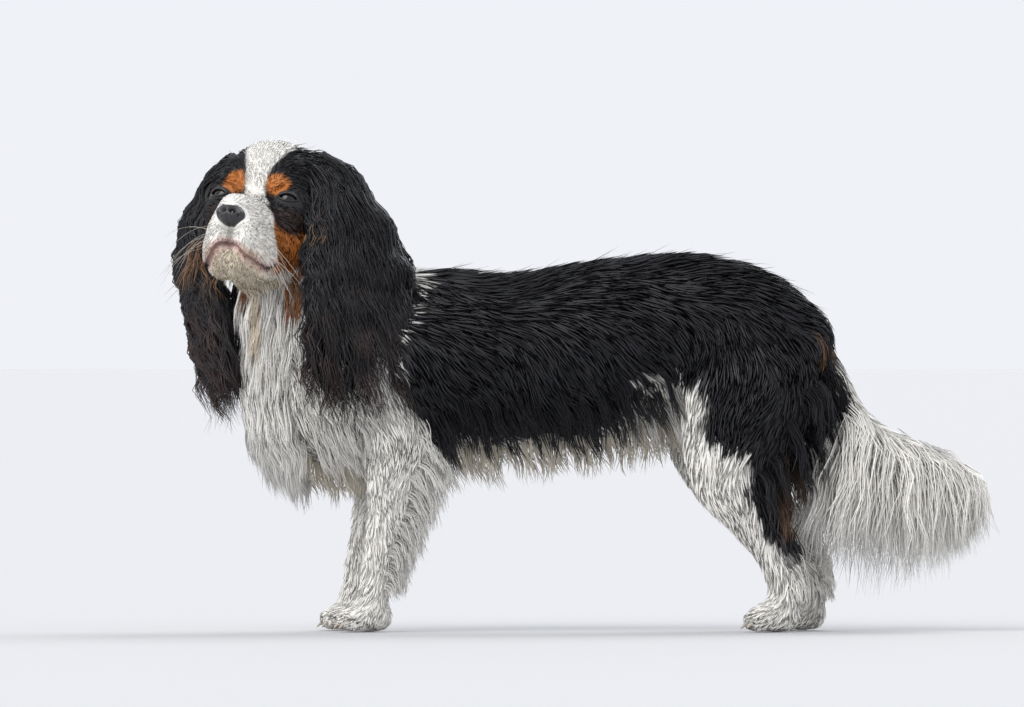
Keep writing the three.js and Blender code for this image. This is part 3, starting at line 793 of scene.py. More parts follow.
class SkinMap:
    """The skin as arrays: its corners, its faces as triangles, and the coat's values at each corner."""

    def __init__(self, obj):
        mesh = obj.data
        mesh.calc_loop_triangles()
        count = len(mesh.vertices)
        co = np.empty(count * 3)
        mesh.vertices.foreach_get("co", co)
        normal = np.empty(count * 3)
        mesh.vertices.foreach_get("normal", normal)
        tri = np.empty(len(mesh.loop_triangles) * 3, int)
        mesh.loop_triangles.foreach_get("vertices", tri)
        self.points = (co.reshape(-1, 3) - SHIFT) / MM
        self.normals = normal.reshape(-1, 3)
        self.tri = tri.reshape(-1, 3)
        self.part_of, self.lie, self.size, self.bake = body_fields(self.points, self.normals)
        self.colour = coat_colour(self.points, self.part_of)
        self.tree = BVHTree.FromPolygons(self.points.tolist(), self.tri.tolist())
        a, b, c = (self.points[self.tri[:, k]] for k in range(3))
        self.area = np.linalg.norm(np.cross(b - a, c - a), axis=-1) / 2
        self.tri_lie = unit(self.lie[self.tri].sum(1))

    def scatter(self, chosen, share=1.0):
        """Random places on the chosen triangles, as triangle numbers and weights of their corners."""
        wanted = self.area * self.size[self.tri, 3].mean(-1) / 100 * share * chosen
        count = int(wanted.sum())
        which = np.searchsorted(np.cumsum(wanted), rng.uniform(0, wanted.sum(), count))
        which = np.minimum(which, len(wanted) - 1)
        a, b = np.sqrt(rng.uniform(size=count)), rng.uniform(size=count)
        return which, np.stack([1 - a, a * (1 - b), a * b], axis=-1)

    def take(self, values, which, weights):
        return (values[self.tri[which]] * weights[..., None]).sum(1)


skin_map = SkinMap(skin)


# Tufts: each is a closed three-sided blade along a bent line, its root below the skin and its tip a point
BAKE_PATCH = 0.003  # width of a tuft's patch on the unwrap
LEAST_TOWARD = 0.15  # least cosine between the normal a face is lit by and its own
BODY_LIGHT = 0.75  # how far a tuft is lit like the body under it, for a soft coat
LOWEST_HAIR = 1.2  # no tuft lies nearer to the floor, in millimetres


def carried(ahead, start):
    """A sideways direction carried along each line without a twist, from `start` at its root."""
    side = np.empty_like(ahead)
    turned = unit(start)
    for ring in range(ahead.shape[1]):
        turned = unit(turned - ahead[:, ring] * (turned * ahead[:, ring]).sum(-1)[:, None])
        side[:, ring] = turned
    return side


def tuft_mesh(name, lines, flat, surface, widths, thickness, colours, bake, taper):
    """Joined blades along `lines`, an array of tufts by rings and tip by 3.

    `flat` is the way each blade's face looks, and `surface` the body's outward direction under it.
    """
    count, rings = lines.shape[0], lines.shape[1] - 1
    ahead = unit(np.gradient(lines, axis=1))
    side = carried(ahead, np.cross(ahead[:, 0], flat))
    out = np.cross(side, ahead)
    share = np.linspace(0, 1, rings + 1)
    wide = widths[:, None] * taper(share)[None, :]
    deep = thickness[:, None] * taper(share)[None, :]
    s, o = side[:, :rings], out[:, :rings]
    w, d = wide[:, :rings, None] / 2, deep[:, :rings, None] / 2
    centre = lines[:, :rings]
    corners = np.stack([centre + s * w - o * d, centre + o * d * 1.6, centre - s * w - o * d], axis=2)
    verts = np.concatenate([corners.reshape(count, rings * 3, 3), lines[:, rings:]], axis=1)
    stride = rings * 3 + 1
    faces = [(0, 2, 1)]
    for r in range(rings - 1):
        for k in range(3):
            a, b = r * 3 + k, r * 3 + (k + 1) % 3
            faces += [(a, b, b + 3), (a, b + 3, a + 3)]
    for k in range(3):
        faces.append(((rings - 1) * 3 + k, (rings - 1) * 3 + (k + 1) % 3, rings * 3))
    faces = np.array(faces)[:, ::-1]
    all_faces = (faces[None] + np.arange(count)[:, None, None] * stride).reshape(-1, 3)
    mesh = bpy.data.meshes.new(name)
    mesh.vertices.add(count * stride)
    mesh.vertices.foreach_set("co", to_world(verts.reshape(-1, 3)).ravel())
    mesh.loops.add(all_faces.size)
    mesh.loops.foreach_set("vertex_index", all_faces.ravel())
    mesh.polygons.add(len(all_faces))
    mesh.polygons.foreach_set("loop_start", np.arange(0, all_faces.size, 3))
    mesh.polygons.foreach_set("loop_total", np.full(len(all_faces), 3))
    mesh.update(calc_edges=True)
    mesh.polygons.foreach_set("use_smooth", np.ones(len(all_faces), bool))
    rounded = np.stack([s - o * 0.4, o, -s - o * 0.4], axis=2).reshape(count, rings * 3, 3)
    rounded = np.concatenate([rounded, out[:, rings:]], axis=1)
    body = unit(np.repeat(out, 3, axis=1)[:, : rings * 3 + 1] + unit(surface)[:, None])
    facing = unit(unit(rounded) * (1 - BODY_LIGHT) + body * BODY_LIGHT)
    at = verts[:, faces]
    flat_normals = unit(np.cross(at[:, :, 1] - at[:, :, 0], at[:, :, 2] - at[:, :, 0]))[:, :, None]
    corner_normals = facing[:, faces]
    toward = (corner_normals * flat_normals).sum(-1, keepdims=True)
    corner_normals = unit(corner_normals + flat_normals * np.maximum(LEAST_TOWARD - toward, 0))
    normals = mesh.attributes.new("custom_normal", "FLOAT_VECTOR", "CORNER")
    normals.data.foreach_set("vector", corner_normals.ravel())
    across = np.concatenate([np.tile([0.0, 0.5, 1.0], rings), [0.5]])
    along = np.concatenate([np.repeat(share[:rings], 3), [1.0]])
    shade = colours[:, 0, None] + (colours[:, 1, None] - colours[:, 0, None]) * along[None, :, None]
    attribute = mesh.color_attributes.new("coat", "FLOAT_COLOR", "POINT")
    rgba = np.concatenate([shade, np.ones((count, stride, 1))], axis=-1)
    attribute.data.foreach_set("color", rgba.astype(np.float32).ravel())
    patch = np.stack([across - 0.5, along - 0.5], axis=-1) * BAKE_PATCH
    spot = (bake[:, None, :] + patch[None]).reshape(-1, 2)
    strand = np.tile(np.stack([across, along], axis=-1), (count, 1, 1))
    strand = (strand + rng.uniform(0, 40, (count, 1, 2))).reshape(-1, 2)
    for label, coordinates in (("strand", strand), ("OFBake", spot)):
        layer = mesh.uv_layers.new(name=label)
        layer.data.foreach_set("uv", coordinates[all_faces.ravel()].ravel())
    obj = bpy.data.objects.new(name, mesh)
    bpy.context.scene.collection.objects.link(obj)
    return obj


def blade_taper(share):
    """Width of a short tuft along its length, as a share of its widest."""
    return np.interp(share, [0, 0.15, 0.55, 1], [0.55, 1, 0.85, 0.0])


def strand_taper(share):
    """Width of a long strand along its length, as a share of its widest."""
    return np.interp(share, [0, 0.1, 0.7, 1], [0.6, 1, 0.75, 0.0])


def shaded(colour, spread=0.12):
    """Root and tip colours of tufts: the root sits in the shade of the coat, and tufts vary a little."""
    dark = colour.mean(-1, keepdims=True) < 0.1
    vary = 1 + rng.normal(size=(len(colour), 1)) * np.where(dark, spread, spread * 0.3)
    root = colour * np.where(dark, 0.75, 0.96) * vary
    tip = np.where(dark, colour * 1.5 + 0.002, colour) * vary
    return np.clip(np.stack([root, tip], axis=1), 0.0005, 0.95)


def comb(which, weights, rings, stray=0.22):
    """Lines of tufts that follow the skin from their roots along the lie of the coat."""
    root = skin_map.take(skin_map.points, which, weights)
    normal = unit(skin_map.take(skin_map.normals, which, weights))
    lie = unit(skin_map.take(skin_map.lie, which, weights))
    size = skin_map.take(skin_map.size, which, weights)
    count = len(root)
    length = size[:, 0] * rng.uniform(0.7, 1.15, count)
    height = size[:, 2] * rng.uniform(0.25, 1.1, count)
    drift = rng.normal(size=count) * stray
    lines = [root - normal * 1.0]
    current, n, direction = root, normal, lie
    rise = np.linspace(0, 1, rings + 1) ** 0.8
    middle = which
    for k in range(1, rings + 1):
        direction = unit(direction + np.cross(n, direction) * drift[:, None] * (0.6 if k == 1 else 0.25))
        ahead = current + direction * (length / rings)[:, None]
        hits = [skin_map.tree.find_nearest(p) for p in ahead.tolist()]
        spot = np.array([h[0] for h in hits])
        n = np.array([h[1] for h in hits])
        n = unit(n + normal * 0.3)
        under = np.array([h[2] for h in hits])
        lie = skin_map.tri_lie[under]
        middle = under if k == (rings + 1) // 2 else middle
        direction = unit(direction * 0.5 + lie * 0.5)
        current = spot
        lines.append(spot + n * (height * rise[k])[:, None])
    return np.stack(lines, axis=1), normal, size, skin_map.colour[skin_map.tri[middle, 0]]


def short_coat(name, chosen, share, rings):
    """One piece of the short coat: tufts on the chosen triangles of the skin."""
    which, weights = skin_map.scatter(chosen, share)
    lines, normal, size, colour = comb(which, weights, rings)
    nearest = skin_map.tri[which, weights.argmax(-1)]
    width = size[:, 1] * rng.uniform(0.7, 1.3, len(lines))
    lines[..., 2] = np.maximum(lines[..., 2], LOWEST_HAIR)
    bake = skin_map.bake[nearest]
    return tuft_mesh(name, lines, normal, normal, width, width * 0.38, shaded(colour), bake, blade_taper)


coat_pieces = []


def clothe(name, parts, share=1.0, rings=3, where=None):
    """Short coat on the named parts, or on the places of them that `where` picks."""
    chosen = np.isin(skin_map.part_of[skin_map.tri[:, 0]], parts)
    if where is not None:
        chosen = chosen & where(skin_map.points[skin_map.tri[:, 0]])
    coat_pieces.append(short_coat(name, chosen, share, rings))


clothe("back_coat", ["torso"], where=lambda p: p[:, 2] > 240)
clothe("flank_coat", ["torso"], where=lambda p: p[:, 2] <= 240)
clothe("neck_coat", ["neck", "tail"])
clothe("ear_undercoat", list(EARS), share=0.6)
clothe("foreleg_coat", ["left_foreleg", "right_foreleg"], share=0.9)
clothe("hind_leg_coat", ["left_hind_leg", "right_hind_leg"], share=0.85)
clothe("paw_coat", ["paws"], rings=2)
clothe("face_coat", ["head"], share=0.92, rings=2, where=lambda p: in_head(p)[:, 0] > -20)
clothe("skull_coat", ["head"], share=0.85, rings=3, where=lambda p: in_head(p)[:, 0] <= -20)


# Long hair: locks of fine strands that hang from the ears, chest, belly, legs and tail
def bake_of(points):
    """The unwrap's places, and the skin's nearest corners, at points of the body."""
    hits = [skin_map.tree.find_nearest(p) for p in points.tolist()]
    corner = skin_map.tri[[h[2] for h in hits], 0]
    return skin_map.bake[corner], corner


class Locks:
    """Where locks are rooted: place along a stretch, angle round it, root point and outward direction."""

    def __init__(self, stretch, count, angles, reach):
        self.stretch = stretch
        self.count = count
        self.t = reach[0] + (reach[1] - reach[0]) * (np.arange(count) + rng.uniform(0.1, 0.9, count)) / count
        self.angle = (angles[0] + (angles[1] - angles[0]) * ((np.arange(count) * 0.618034) % 1)) * DEG
        self.root = stretch.at(self.t, self.angle)
        self.out = stretch.normal(self.t, self.angle)
        self.bake, corner = bake_of(self.root)
        self.colour = skin_map.colour[corner]

    def toward(self, x=0.0, y=0.0, z=0.0, out=0.0):
        """A direction for each lock: fixed parts, and a share outward from the body."""
        fixed = [np.broadcast_to(part, self.count) for part in (x, y, z)]
        return unit(np.stack(fixed, axis=-1) + self.out * out)


def grow_locks(name, locks, start, fall, length, width, strands, curl=3.0, wavelength=36.0, depth=7.0,
               loose=0.12, strand_width=1.0, rings=6, colour=None, gather=0.6, turn_by=0.55):
    """Each strand leaves its root along `start`, bends to `fall`, and waves with the rest of its lock."""
    pick = np.repeat(np.arange(locks.count), strands)
    n = len(pick)
    s = np.linspace(0, 1, rings + 1)
    a, b = rng.uniform(-1, 1, n), rng.uniform(-0.5, 0.5, n)
    lock_length = length * rng.uniform(0.85, 1.12, locks.count)
    lengths = lock_length[pick] * rng.uniform(0.6, 1.03, n)
    turned = smoothstep(0, turn_by, s)[None, :, None]
    stray = rng.normal(size=(n, 1, 3)) * loose * s[None, :, None]
    heading = unit(start[pick][:, None] * (1 - turned) + fall[pick][:, None] * turned + stray)
    steps = heading * (lengths / rings)[:, None, None]
    path = np.concatenate([np.zeros((n, 1, 3)), np.cumsum(steps[:, :-1], axis=1)], axis=1)
    side = carried(heading, np.cross(heading[:, 0], locks.out[pick] + (0.1, 0.3, 0.05)))
    face = np.cross(side, heading)
    phase = rng.uniform(0, 2 * math.pi, locks.count)[pick][:, None] + rng.normal(size=(n, 1)) * 0.35
    turns = 2 * math.pi * lengths[:, None] / wavelength * s
    reach = curl * rng.uniform(0.6, 1.3, locks.count)[pick][:, None] * smoothstep(0, 0.5, s)
    closing = 1 - gather * s**1.5
    widths = rng.uniform(*width, locks.count)[pick][:, None]
    across = a[:, None] * widths / 2 * closing + reach * np.sin(turns + phase)
    lift = b[:, None] * depth * closing + reach * 0.7 * np.cos(turns + phase * 1.3) - 3 * (1 - s) ** 4
    lines = locks.root[pick][:, None] + path + side * across[..., None] + face * lift[..., None]
    lines[..., 2] = np.maximum(lines[..., 2], 1.5)
    tone = shaded(locks.colour[pick] if colour is None else np.tile(colour, (n, 1)), 0.12)
    tone = np.clip(tone * rng.normal(1, 0.03, locks.count)[pick][:, None, None], 0, 0.95)
    add_strands(name, lines, face[:, 0], locks.out[pick], strand_width, tone, locks.bake[pick])


def add_strands(name, lines, flat, surface, strand_width, tone, bake):
    """Adds a coat piece of fine strands, each a little wider or narrower than `strand_width`."""
    width = strand_width * rng.uniform(0.6, 1.4, len(lines))
    coat_pieces.append(tuft_mesh(name, lines, flat, surface, width, width * 0.6, tone, bake, strand_taper))


def chest_hair():
    locks = Locks(TORSO, 60, (-172, -8), (0.0, 0.2))
    forward = 0.1 + 0.004 * (230 + locks.root[:, 0])
    hang = locks.toward(x=forward, z=-1, out=0.05)
    grow_locks("chest_ruff", locks, locks.toward(z=-1, out=0.45), hang, 50, (12, 20), 36,
               curl=1.8, wavelength=45, depth=8, strand_width=0.85)
    locks = Locks(NECK, 70, (-175, -5), (0.0, 0.95))
    hang = locks.toward(z=-1, out=0.02)
    grow_locks("neck_ruff", locks, locks.toward(z=-1, out=0.3), hang, 54, (12, 22), 28,
               curl=1.8, wavelength=45, depth=6, strand_width=0.85)
    locks = Locks(NECK, 16, (50, 130), (0.3, 0.8))
    back = locks.toward(x=1, z=-0.7)
    grow_locks("nape_tuft", locks, locks.toward(x=0.8, z=0.2, out=0.7), back, 32, (8, 14), 26,
               curl=3, loose=0.25, colour=WHITE)


def belly_hair():
    locks = Locks(TORSO, 74, (-122, -58), (0.15, 0.86))
    grow_locks("belly_fringe", locks, locks.toward(x=0.3, z=-1), locks.toward(x=0.25, z=-1), 38, (12, 22), 22,
               curl=2.2, wavelength=44, depth=8, loose=0.22, colour=CREAM, strand_width=0.8)
    for side, angles in (("left", (-157, -128)), ("right", (-52, -23))):
        locks = Locks(TORSO, 58, angles, (0.22, 0.82))
        grow_locks(side + "_flank_fringe", locks, locks.toward(x=0.5, z=-1, out=0.1),
                   locks.toward(x=0.35, z=-1), 44, (10, 20), 22,
                   curl=1.8, wavelength=48, depth=5, loose=0.16)


def leg_hair():
    for side, fore, hind in (("left", LEFT_FORELEG, LEFT_HIND_LEG), ("right", RIGHT_FORELEG, RIGHT_HIND_LEG)):
        locks = Locks(fore, 72, (25, 155), (0.08, 0.8))
        size = np.interp(locks.t, [0.08, 0.4, 0.8], [38, 36, 18])
        hang = locks.toward(x=0.2, z=-1)
        grow_locks(side + "_fore_feather", locks, locks.toward(x=0.9, z=-0.6), hang, size, (8, 15), 18,
                   curl=1.2, wavelength=40, depth=6, loose=0.15, strand_width=0.8, gather=0.35)
        locks = Locks(hind, 52, (35, 145), (0.08, 0.86))
        size = np.interp(locks.t, [0.08, 0.4, 0.65, 0.86], [56, 50, 30, 18])
        hang = locks.toward(x=0.12, z=-1)
        grow_locks(side + "_hind_feather", locks, locks.toward(x=0.55, z=-1), hang, size, (10, 18), 23,
                   curl=2.2, wavelength=44, depth=8, loose=0.16, strand_width=0.95)


def tail_hair():
    locks = Locks(TAIL, 124, (-205, 25), (0.3, 1.0))
    start = locks.toward(x=-0.3 + 1.0 * locks.t, z=-0.3, out=0.4)
    fall = locks.toward(x=np.interp(locks.t, [0.3, 0.5, 1], [-0.28, 0.0, 0.12]), z=-1)
    lowest = np.interp(locks.t, [0.3, 0.65, 0.8, 1], [42, 42, 60, 66])
    size = np.clip(locks.root[:, 2] - lowest, 36, 140) * 1.03
    grow_locks("tail_plume", locks, start, fall, size, (16, 30), 28, curl=2.5, wavelength=60, depth=11,
               loose=0.13, rings=6, strand_width=0.9, colour=WHITE, turn_by=0.5, gather=0.3)
    locks = Locks(TAIL, 22, (-180, 180), (0.9, 1.0))
    hang = locks.toward(x=0.05, z=-1)
    grow_locks("plume_end", locks, locks.toward(x=0.5, z=-0.4, out=0.4), hang, 66, (14, 24), 24,
               curl=2.5, wavelength=60, depth=10, loose=0.13, strand_width=0.9, colour=WHITE,
               turn_by=0.5, gather=0.3)
    locks = Locks(TAIL, 34, (-215, 35), (0.0, 0.4))
    hang = locks.toward(x=0.12, z=-1)
    grow_locks("rump_hair", locks, locks.toward(x=0.4, z=-0.8, out=0.3), hang, 46, (10, 18), 26,
               curl=2, wavelength=50, depth=7, loose=0.12, colour=BLACK)


EAR_WAVELENGTH = 38
EAR_LENGTH = 128
EAR_BACK = 0.2  # how far back the hair swings as it falls


def ear_hair(name, stretch, lowest, spread):
    """Locks that follow the ear and then hang free below it, with waves in rows across the ear."""
    locks = Locks(stretch, 96, (-180, 180), (0.05, 0.97))
    strands, rings = 22, 10
    pick = np.repeat(np.arange(locks.count), strands)
    n = len(pick)
    start = np.clip(locks.t[pick] + rng.normal(size=n) * 0.025, 0, 0.98)
    turn = locks.angle[pick] + rng.normal(size=n) * 0.13
    across = unit(stretch.across)
    end = stretch.at(np.ones(n), turn)
    aside = (locks.out @ across)[pick]
    on_ear = (1 - start) * EAR_LENGTH
    lowest_tip = lowest + rng.uniform(0, 22, locks.count)[pick] + 16 * aside**2
    full = on_ear + end[:, 2] - lowest_tip
    length = np.minimum(full, rng.uniform(90, 190, n)) * rng.uniform(0.84, 1.03, n)
    wavelength = EAR_WAVELENGTH * rng.uniform(0.92, 1.1, locks.count)[pick]
    phase = rng.uniform(0, 2.6, locks.count)[pick] + rng.normal(size=n) * 0.2
    phase = phase + 2 * math.pi * start * EAR_LENGTH / wavelength
    curl = rng.uniform(3.2, 5.8, locks.count)[pick]
    lift = rng.uniform(0.5, 6, n)
    splay = aside * spread + rng.normal(size=locks.count)[pick] * 0.07 + rng.normal(size=n) * 0.03
    lines = []
    for s in np.linspace(0, 1, rings + 1):
        gone = length * s
        place = np.minimum(start + gone / EAR_LENGTH, 1)
        below = np.maximum(gone - on_ear, 0)
        rooted = lift * (0.25 + 0.75 * s) * min(1, s * 4) - 2.5 * max(0, 1 - 5 * s)
        out = stretch.normal(place, turn)
        point = stretch.at(place, turn) + out * rooted[:, None]
        home = stretch.at(place, locks.angle[pick])
        point = point + (home - point) * (0.55 * s * s)
        point[:, 2] -= below
        point[:, 0] += EAR_BACK * (below + 0.2 * gone)
        turns = 2 * math.pi * gone / wavelength + phase
        grown = curl * min(1, 0.35 + s)
        point = point + across * (grown * 0.8 * np.sin(turns) + splay * (below + 0.35 * gone))[:, None]
        lines.append(point + out * (grown * np.cos(turns + 0.6))[:, None])
    tone = shaded(locks.colour[pick], 0.2) * rng.uniform(0.6, 1.5, locks.count)[pick][:, None, None]
    add_strands(name, np.stack(lines, axis=1), locks.out[pick], locks.out[pick], 1.15, tone, locks.bake[pick])


def ear_streaks():
    """Paler tan hair where the front of each ear meets the cheek."""
    for name, stretch, angles, reach in (
        ("left_ear_streak", LEFT_EAR, (130, 215), (0.4, 0.62)),
        ("right_ear_streak", RIGHT_EAR, (-30, 60), (0.5, 0.72)),
    ):
        locks = Locks(stretch, 9, angles, reach)
        hang = locks.toward(x=-0.1, z=-1, out=0.15)
        grow_locks(name, locks, locks.toward(z=-1, out=0.7), hang, 46, (4, 7), 9,
                   curl=2.5, wavelength=24, loose=0.25, colour=STREAK_TAN, strand_width=0.6)


def stray_hairs():
    """A few fine hairs that stand off the smooth outline of the back, skull and neck."""
    chosen = np.isin(skin_map.part_of[skin_map.tri[:, 0]], ["torso", "neck", "head"])
    chosen &= in_head(skin_map.points[skin_map.tri[:, 0]])[:, 0] < -12
    which, weights = skin_map.scatter(chosen, 0.035)
    lines, normal, _, colour = comb(which, weights, 4, 0.5)
    rise = np.linspace(0, 1, 5) ** 1.5 * 7
    lines = lines + normal[:, None] * rise[None, :, None]
    nearest = skin_map.tri[which, weights.argmax(-1)]
    add_strands("stray_hairs", lines, normal, normal, 0.5, shaded(colour), skin_map.bake[nearest])


chest_hair()
belly_hair()
leg_hair()
tail_hair()
ear_hair("left_ear_hair", LEFT_EAR, 156, 0.2)
ear_hair("right_ear_hair", RIGHT_EAR, 166, -0.02)
ear_streaks()
stray_hairs()


# Eyes, lids, nose, whiskers and claws
def sweep(bm, path, radii, facing, sides=8, closed=False):
    """A tapered round cord along a path, its rings turned by the `facing` directions."""
    path = np.asarray(path, float)
    if closed:
        ahead = np.roll(path, -1, axis=0) - np.roll(path, 1, axis=0)
    else:
        ahead = np.gradient(path, axis=0)
    along = unit(ahead)
    side = unit(np.cross(facing, along))
    up = np.cross(along, side)
    rings = []
    for k, spot in enumerate(to_world(path)):
        place = Matrix(np.column_stack([side[k], up[k], along[k]]).tolist()).to_4x4()
        place.translation = Vector(spot)
        ring = bmesh.ops.create_circle(bm, segments=sides, radius=radii[k] * MM, matrix=place)
        rings.append({e for v in ring["verts"] for e in v.link_edges})
    pairs = list(zip(rings, rings[1:])) + ([(rings[-1], rings[0])] if closed else [])
    for a, b in pairs:
        bmesh.ops.bridge_loops(bm, edges=list(a | b))
    if not closed:
        for ring in (rings[0], rings[-1]):
            bmesh.ops.edgeloop_fill(bm, edges=list(ring))


def eye_point(sign, across, up, distance):
    """A head point seen from the eye's centre at the given angles."""
    flat_x = np.cos(up) * np.cos(across)
    flat_y = np.cos(up) * np.sin(across)
    x = flat_x * math.cos(EYE_LOOK_OUT) - flat_y * math.sin(EYE_LOOK_OUT)
    y = flat_x * math.sin(EYE_LOOK_OUT) + flat_y * math.cos(EYE_LOOK_OUT)
    local = np.stack([x, y, np.sin(up)], axis=-1) * distance + (-EYE_BACK, EYE_SPACING, 0)
    return local * (1, sign, 1)


CORNEA_EDGE = 0.7  # angle from the line of sight, in radians
CORNEA_RISE = 0.05


def make_eye(name, sign):
    """An eyeball with a slightly raised cornea; `gaze` holds the angle from where it looks."""
    bm = bmesh.new()
    centre = from_head(np.array([-EYE_BACK, sign * EYE_SPACING, 0]))
    bmesh.ops.create_uvsphere(bm, u_segments=48, v_segments=32, radius=EYE_RADIUS * MM,
                              matrix=Matrix.Translation(Vector(to_world(centre))))
    look = unit(eye_point(sign, 0, 0.03, 1.0) - (-EYE_BACK, sign * EYE_SPACING, 0)) @ HEAD_AXES
    middle = Vector(to_world(centre))
    angles = []
    for v in bm.verts:
        away = v.co - middle
        angle = away.angle(Vector(look))
        angles.append(angle)
        v.co = middle + away * (1 + CORNEA_RISE * max(0, 1 - (angle / CORNEA_EDGE) ** 2))
    bm.normal_update()
    obj = object_from(bm, name)
    gaze = obj.data.attributes.new("gaze", "FLOAT", "POINT")
    gaze.data.foreach_set("value", angles)
    return obj


def make_lids(name, sign):
    """The dark wet rims of the upper and lower lid."""
    bm = bmesh.new()
    turn = np.linspace(0, 2 * math.pi, 41)[:-1]
    across = SLIT_HALF_WIDTH * np.cos(turn)
    high, low = slit_edge(across * 0.999)
    up = np.where(np.sin(turn) > 0, high, low)
    path = from_head(eye_point(sign, across, up, LID_RADIUS + 0.1))
    centre = from_head(np.array([-EYE_BACK, sign * EYE_SPACING, 0]))
    radii = np.full(len(path), 1.0)
    sweep(bm, path, radii, unit(path - centre), closed=True)
    bmesh.ops.recalc_face_normals(bm, faces=bm.faces)
    return object_from(bm, name)


def on_nose(spots):
    """Points on the front of the nose, from their places across and up."""
    flat = (np.array(spots, float) - NOSE_AT[1:]) / NOSE_SIZE[1:]
    ahead = NOSE_AT[0] + NOSE_SIZE[0] * np.sqrt(1 - (flat**2).sum(-1))
    return np.column_stack([ahead, spots])


NOSTRIL = on_nose([[4.0, -31], [5.5, -30.2], [7.4, -31], [9.2, -33], [10.2, -35]])


def make_nose():
    """The nose leather: a ball with two nostrils, their wings and a groove between them."""
    bm = bmesh.new()
    bmesh.ops.create_uvsphere(bm, u_segments=72, v_segments=48, radius=1)
    unit_points = np.array([v.co for v in bm.verts])
    p = NOSE_AT + unit_points * NOSE_SIZE
    both = folded(p)
    inward = unit(NOSE_AT - p)
    hole = 6 * np.exp(-(distance_to_line(both, NOSTRIL[:3]) / 2.1) ** 2)
    hole = np.maximum(hole, 3 * np.exp(-(distance_to_line(both, NOSTRIL[2:]) / 1.2) ** 2))
    wing = 0.9 * np.exp(-(distance_to_line(both, NOSTRIL + (0, 1.5, 3.6)) / 1.8) ** 2)
    groove = 1.1 * np.exp(-((p[:, 1] / 1.0) ** 2)) * smoothstep(-31, -35, p[:, 2])
    p = p + inward * (hole - wing + groove)[:, None]
    p[:, 0] -= 2.2 * smoothstep(-32, -41, p[:, 2])
    for v, spot in zip(bm.verts, to_world(from_head(p))):
        v.co = spot
    bm.normal_update()
    bmesh.ops.recalc_face_normals(bm, faces=bm.faces)
    return object_from(bm, "nose_leather")


WHISKER_WIDTH = 0.32
WHISKER_DEPTH = 0.28
# How far ahead and aside the whiskers point on the near and far flew, and their least and greatest length
WHISKER_ASIDE = {1: (-0.35, 0.6, 26, 42), -1: (0.35, 1.0, 34, 56)}


def whisker_lines():
    """Curved lines of the whiskers, rooted in rows on both flews."""
    rings = 9
    s = np.linspace(0, 1, rings + 1)[:, None]
    lines = []
    for sign in (1, -1):
        for row in range(3):
            for place in range(3):
                root = np.array([[33 - 6 * place, sign * 20, -40 - 7 * row - 2 * place]], float)
                root = onto_head(root + (0, sign * 6, 0), 5)[0]
                aside = WHISKER_ASIDE[sign]
                out = np.array([aside[0] - 0.12 * place, sign * aside[1], -0.15 - 0.18 * row])
                out = out + rng.normal(size=3) * 0.2
                length = rng.uniform(*aside[2:])
                droop = DOWN @ HEAD_AXES.T + np.array([-0.5, 0, 0])
                line = root + unit(out) * length * s + droop * (length * 0.42 * s**2)
                line = line - unit(out) * 2 * (1 - s)
                lines.append(from_head(line))
    return np.array(lines)


def make_whiskers():
    lines = whisker_lines()
    n = len(lines)
    tone = np.tile(linear("#e9dfd2"), (n, 2, 1))
    flat = np.tile(DOWN, (n, 1))
    bake, _ = bake_of(lines[:, 0])
    width, depth = np.full(n, WHISKER_WIDTH), np.full(n, WHISKER_DEPTH)
    return tuft_mesh("whiskers", lines, flat, -flat, width, depth, tone, bake, strand_taper)


CLAW_RADII = [1.8, 1.7, 1.5, 1.2, 0.9, 0.4]


def make_claws():
    """Four bent claws on each paw, one ahead of each toe."""
    bm = bmesh.new()
    for x, y in PAWS:
        for place in (-1.5, -0.5, 0.5, 1.5):
            reach = PAW_LENGTH * (0.4 - 0.045 * place * place)
            start = np.array([x - reach - 2, y + place * TOE_RADIUS, 8.5])
            bend = np.linspace(0, 1, len(CLAW_RADII))[:, None]
            path = start + bend * (-7.0, 0, -2.2) + bend**2 * (0, 0, -3.4)
            sweep(bm, path, CLAW_RADII, np.tile([0.0, 1.0, 0.0], (len(path), 1)), sides=10)
    bmesh.ops.recalc_face_normals(bm, faces=bm.faces)
    return object_from(bm, "claws")


# Materials, with the width of their grain in millimetres
FUR_GRAIN = 1.1111
LID_GRAIN = 0.66667
NOSE_PEBBLE = 0.90909
IRIS = (
    (0.0, "#050404"),
    (0.27, "#070505"),
    (0.33, "#201009"),
    (0.6, "#150a06"),
    (0.7, "#15100e"),
    (1.0, "#1a1513"),
)


def node(tree, kind, settings=None, **links):
    """Adds a shader node, sets its properties and sockets, and links what comes from another node."""
    made = tree.nodes.new(kind)
    for key, value in (settings or {}).items():
        setattr(made, key, value)
    for key, value in links.items():
        socket = made.inputs[int(key[1:])] if key[0] == "_" else made.inputs[key.replace("_", " ")]
        if isinstance(value, bpy.types.NodeSocket):
            tree.links.new(value, socket)
        else:
            socket.default_value = value
    return made


def rgba(colour):
    return (*[float(c) for c in colour], 1)


def new_material(name):
    material = bpy.data.materials.new(name)
    material.use_nodes = True
    material.node_tree.nodes.clear()
    return material, material.node_tree


def scale_for(grain):
    """The scale of a pattern whose grains are `grain` millimetres wide."""
    return 1 / (grain * MM)


def finish_material(tree, **shader):
    surface = node(tree, "ShaderNodeBsdfPrincipled", None, **shader)
    node(tree, "ShaderNodeOutputMaterial", None, Surface=surface.outputs[0])


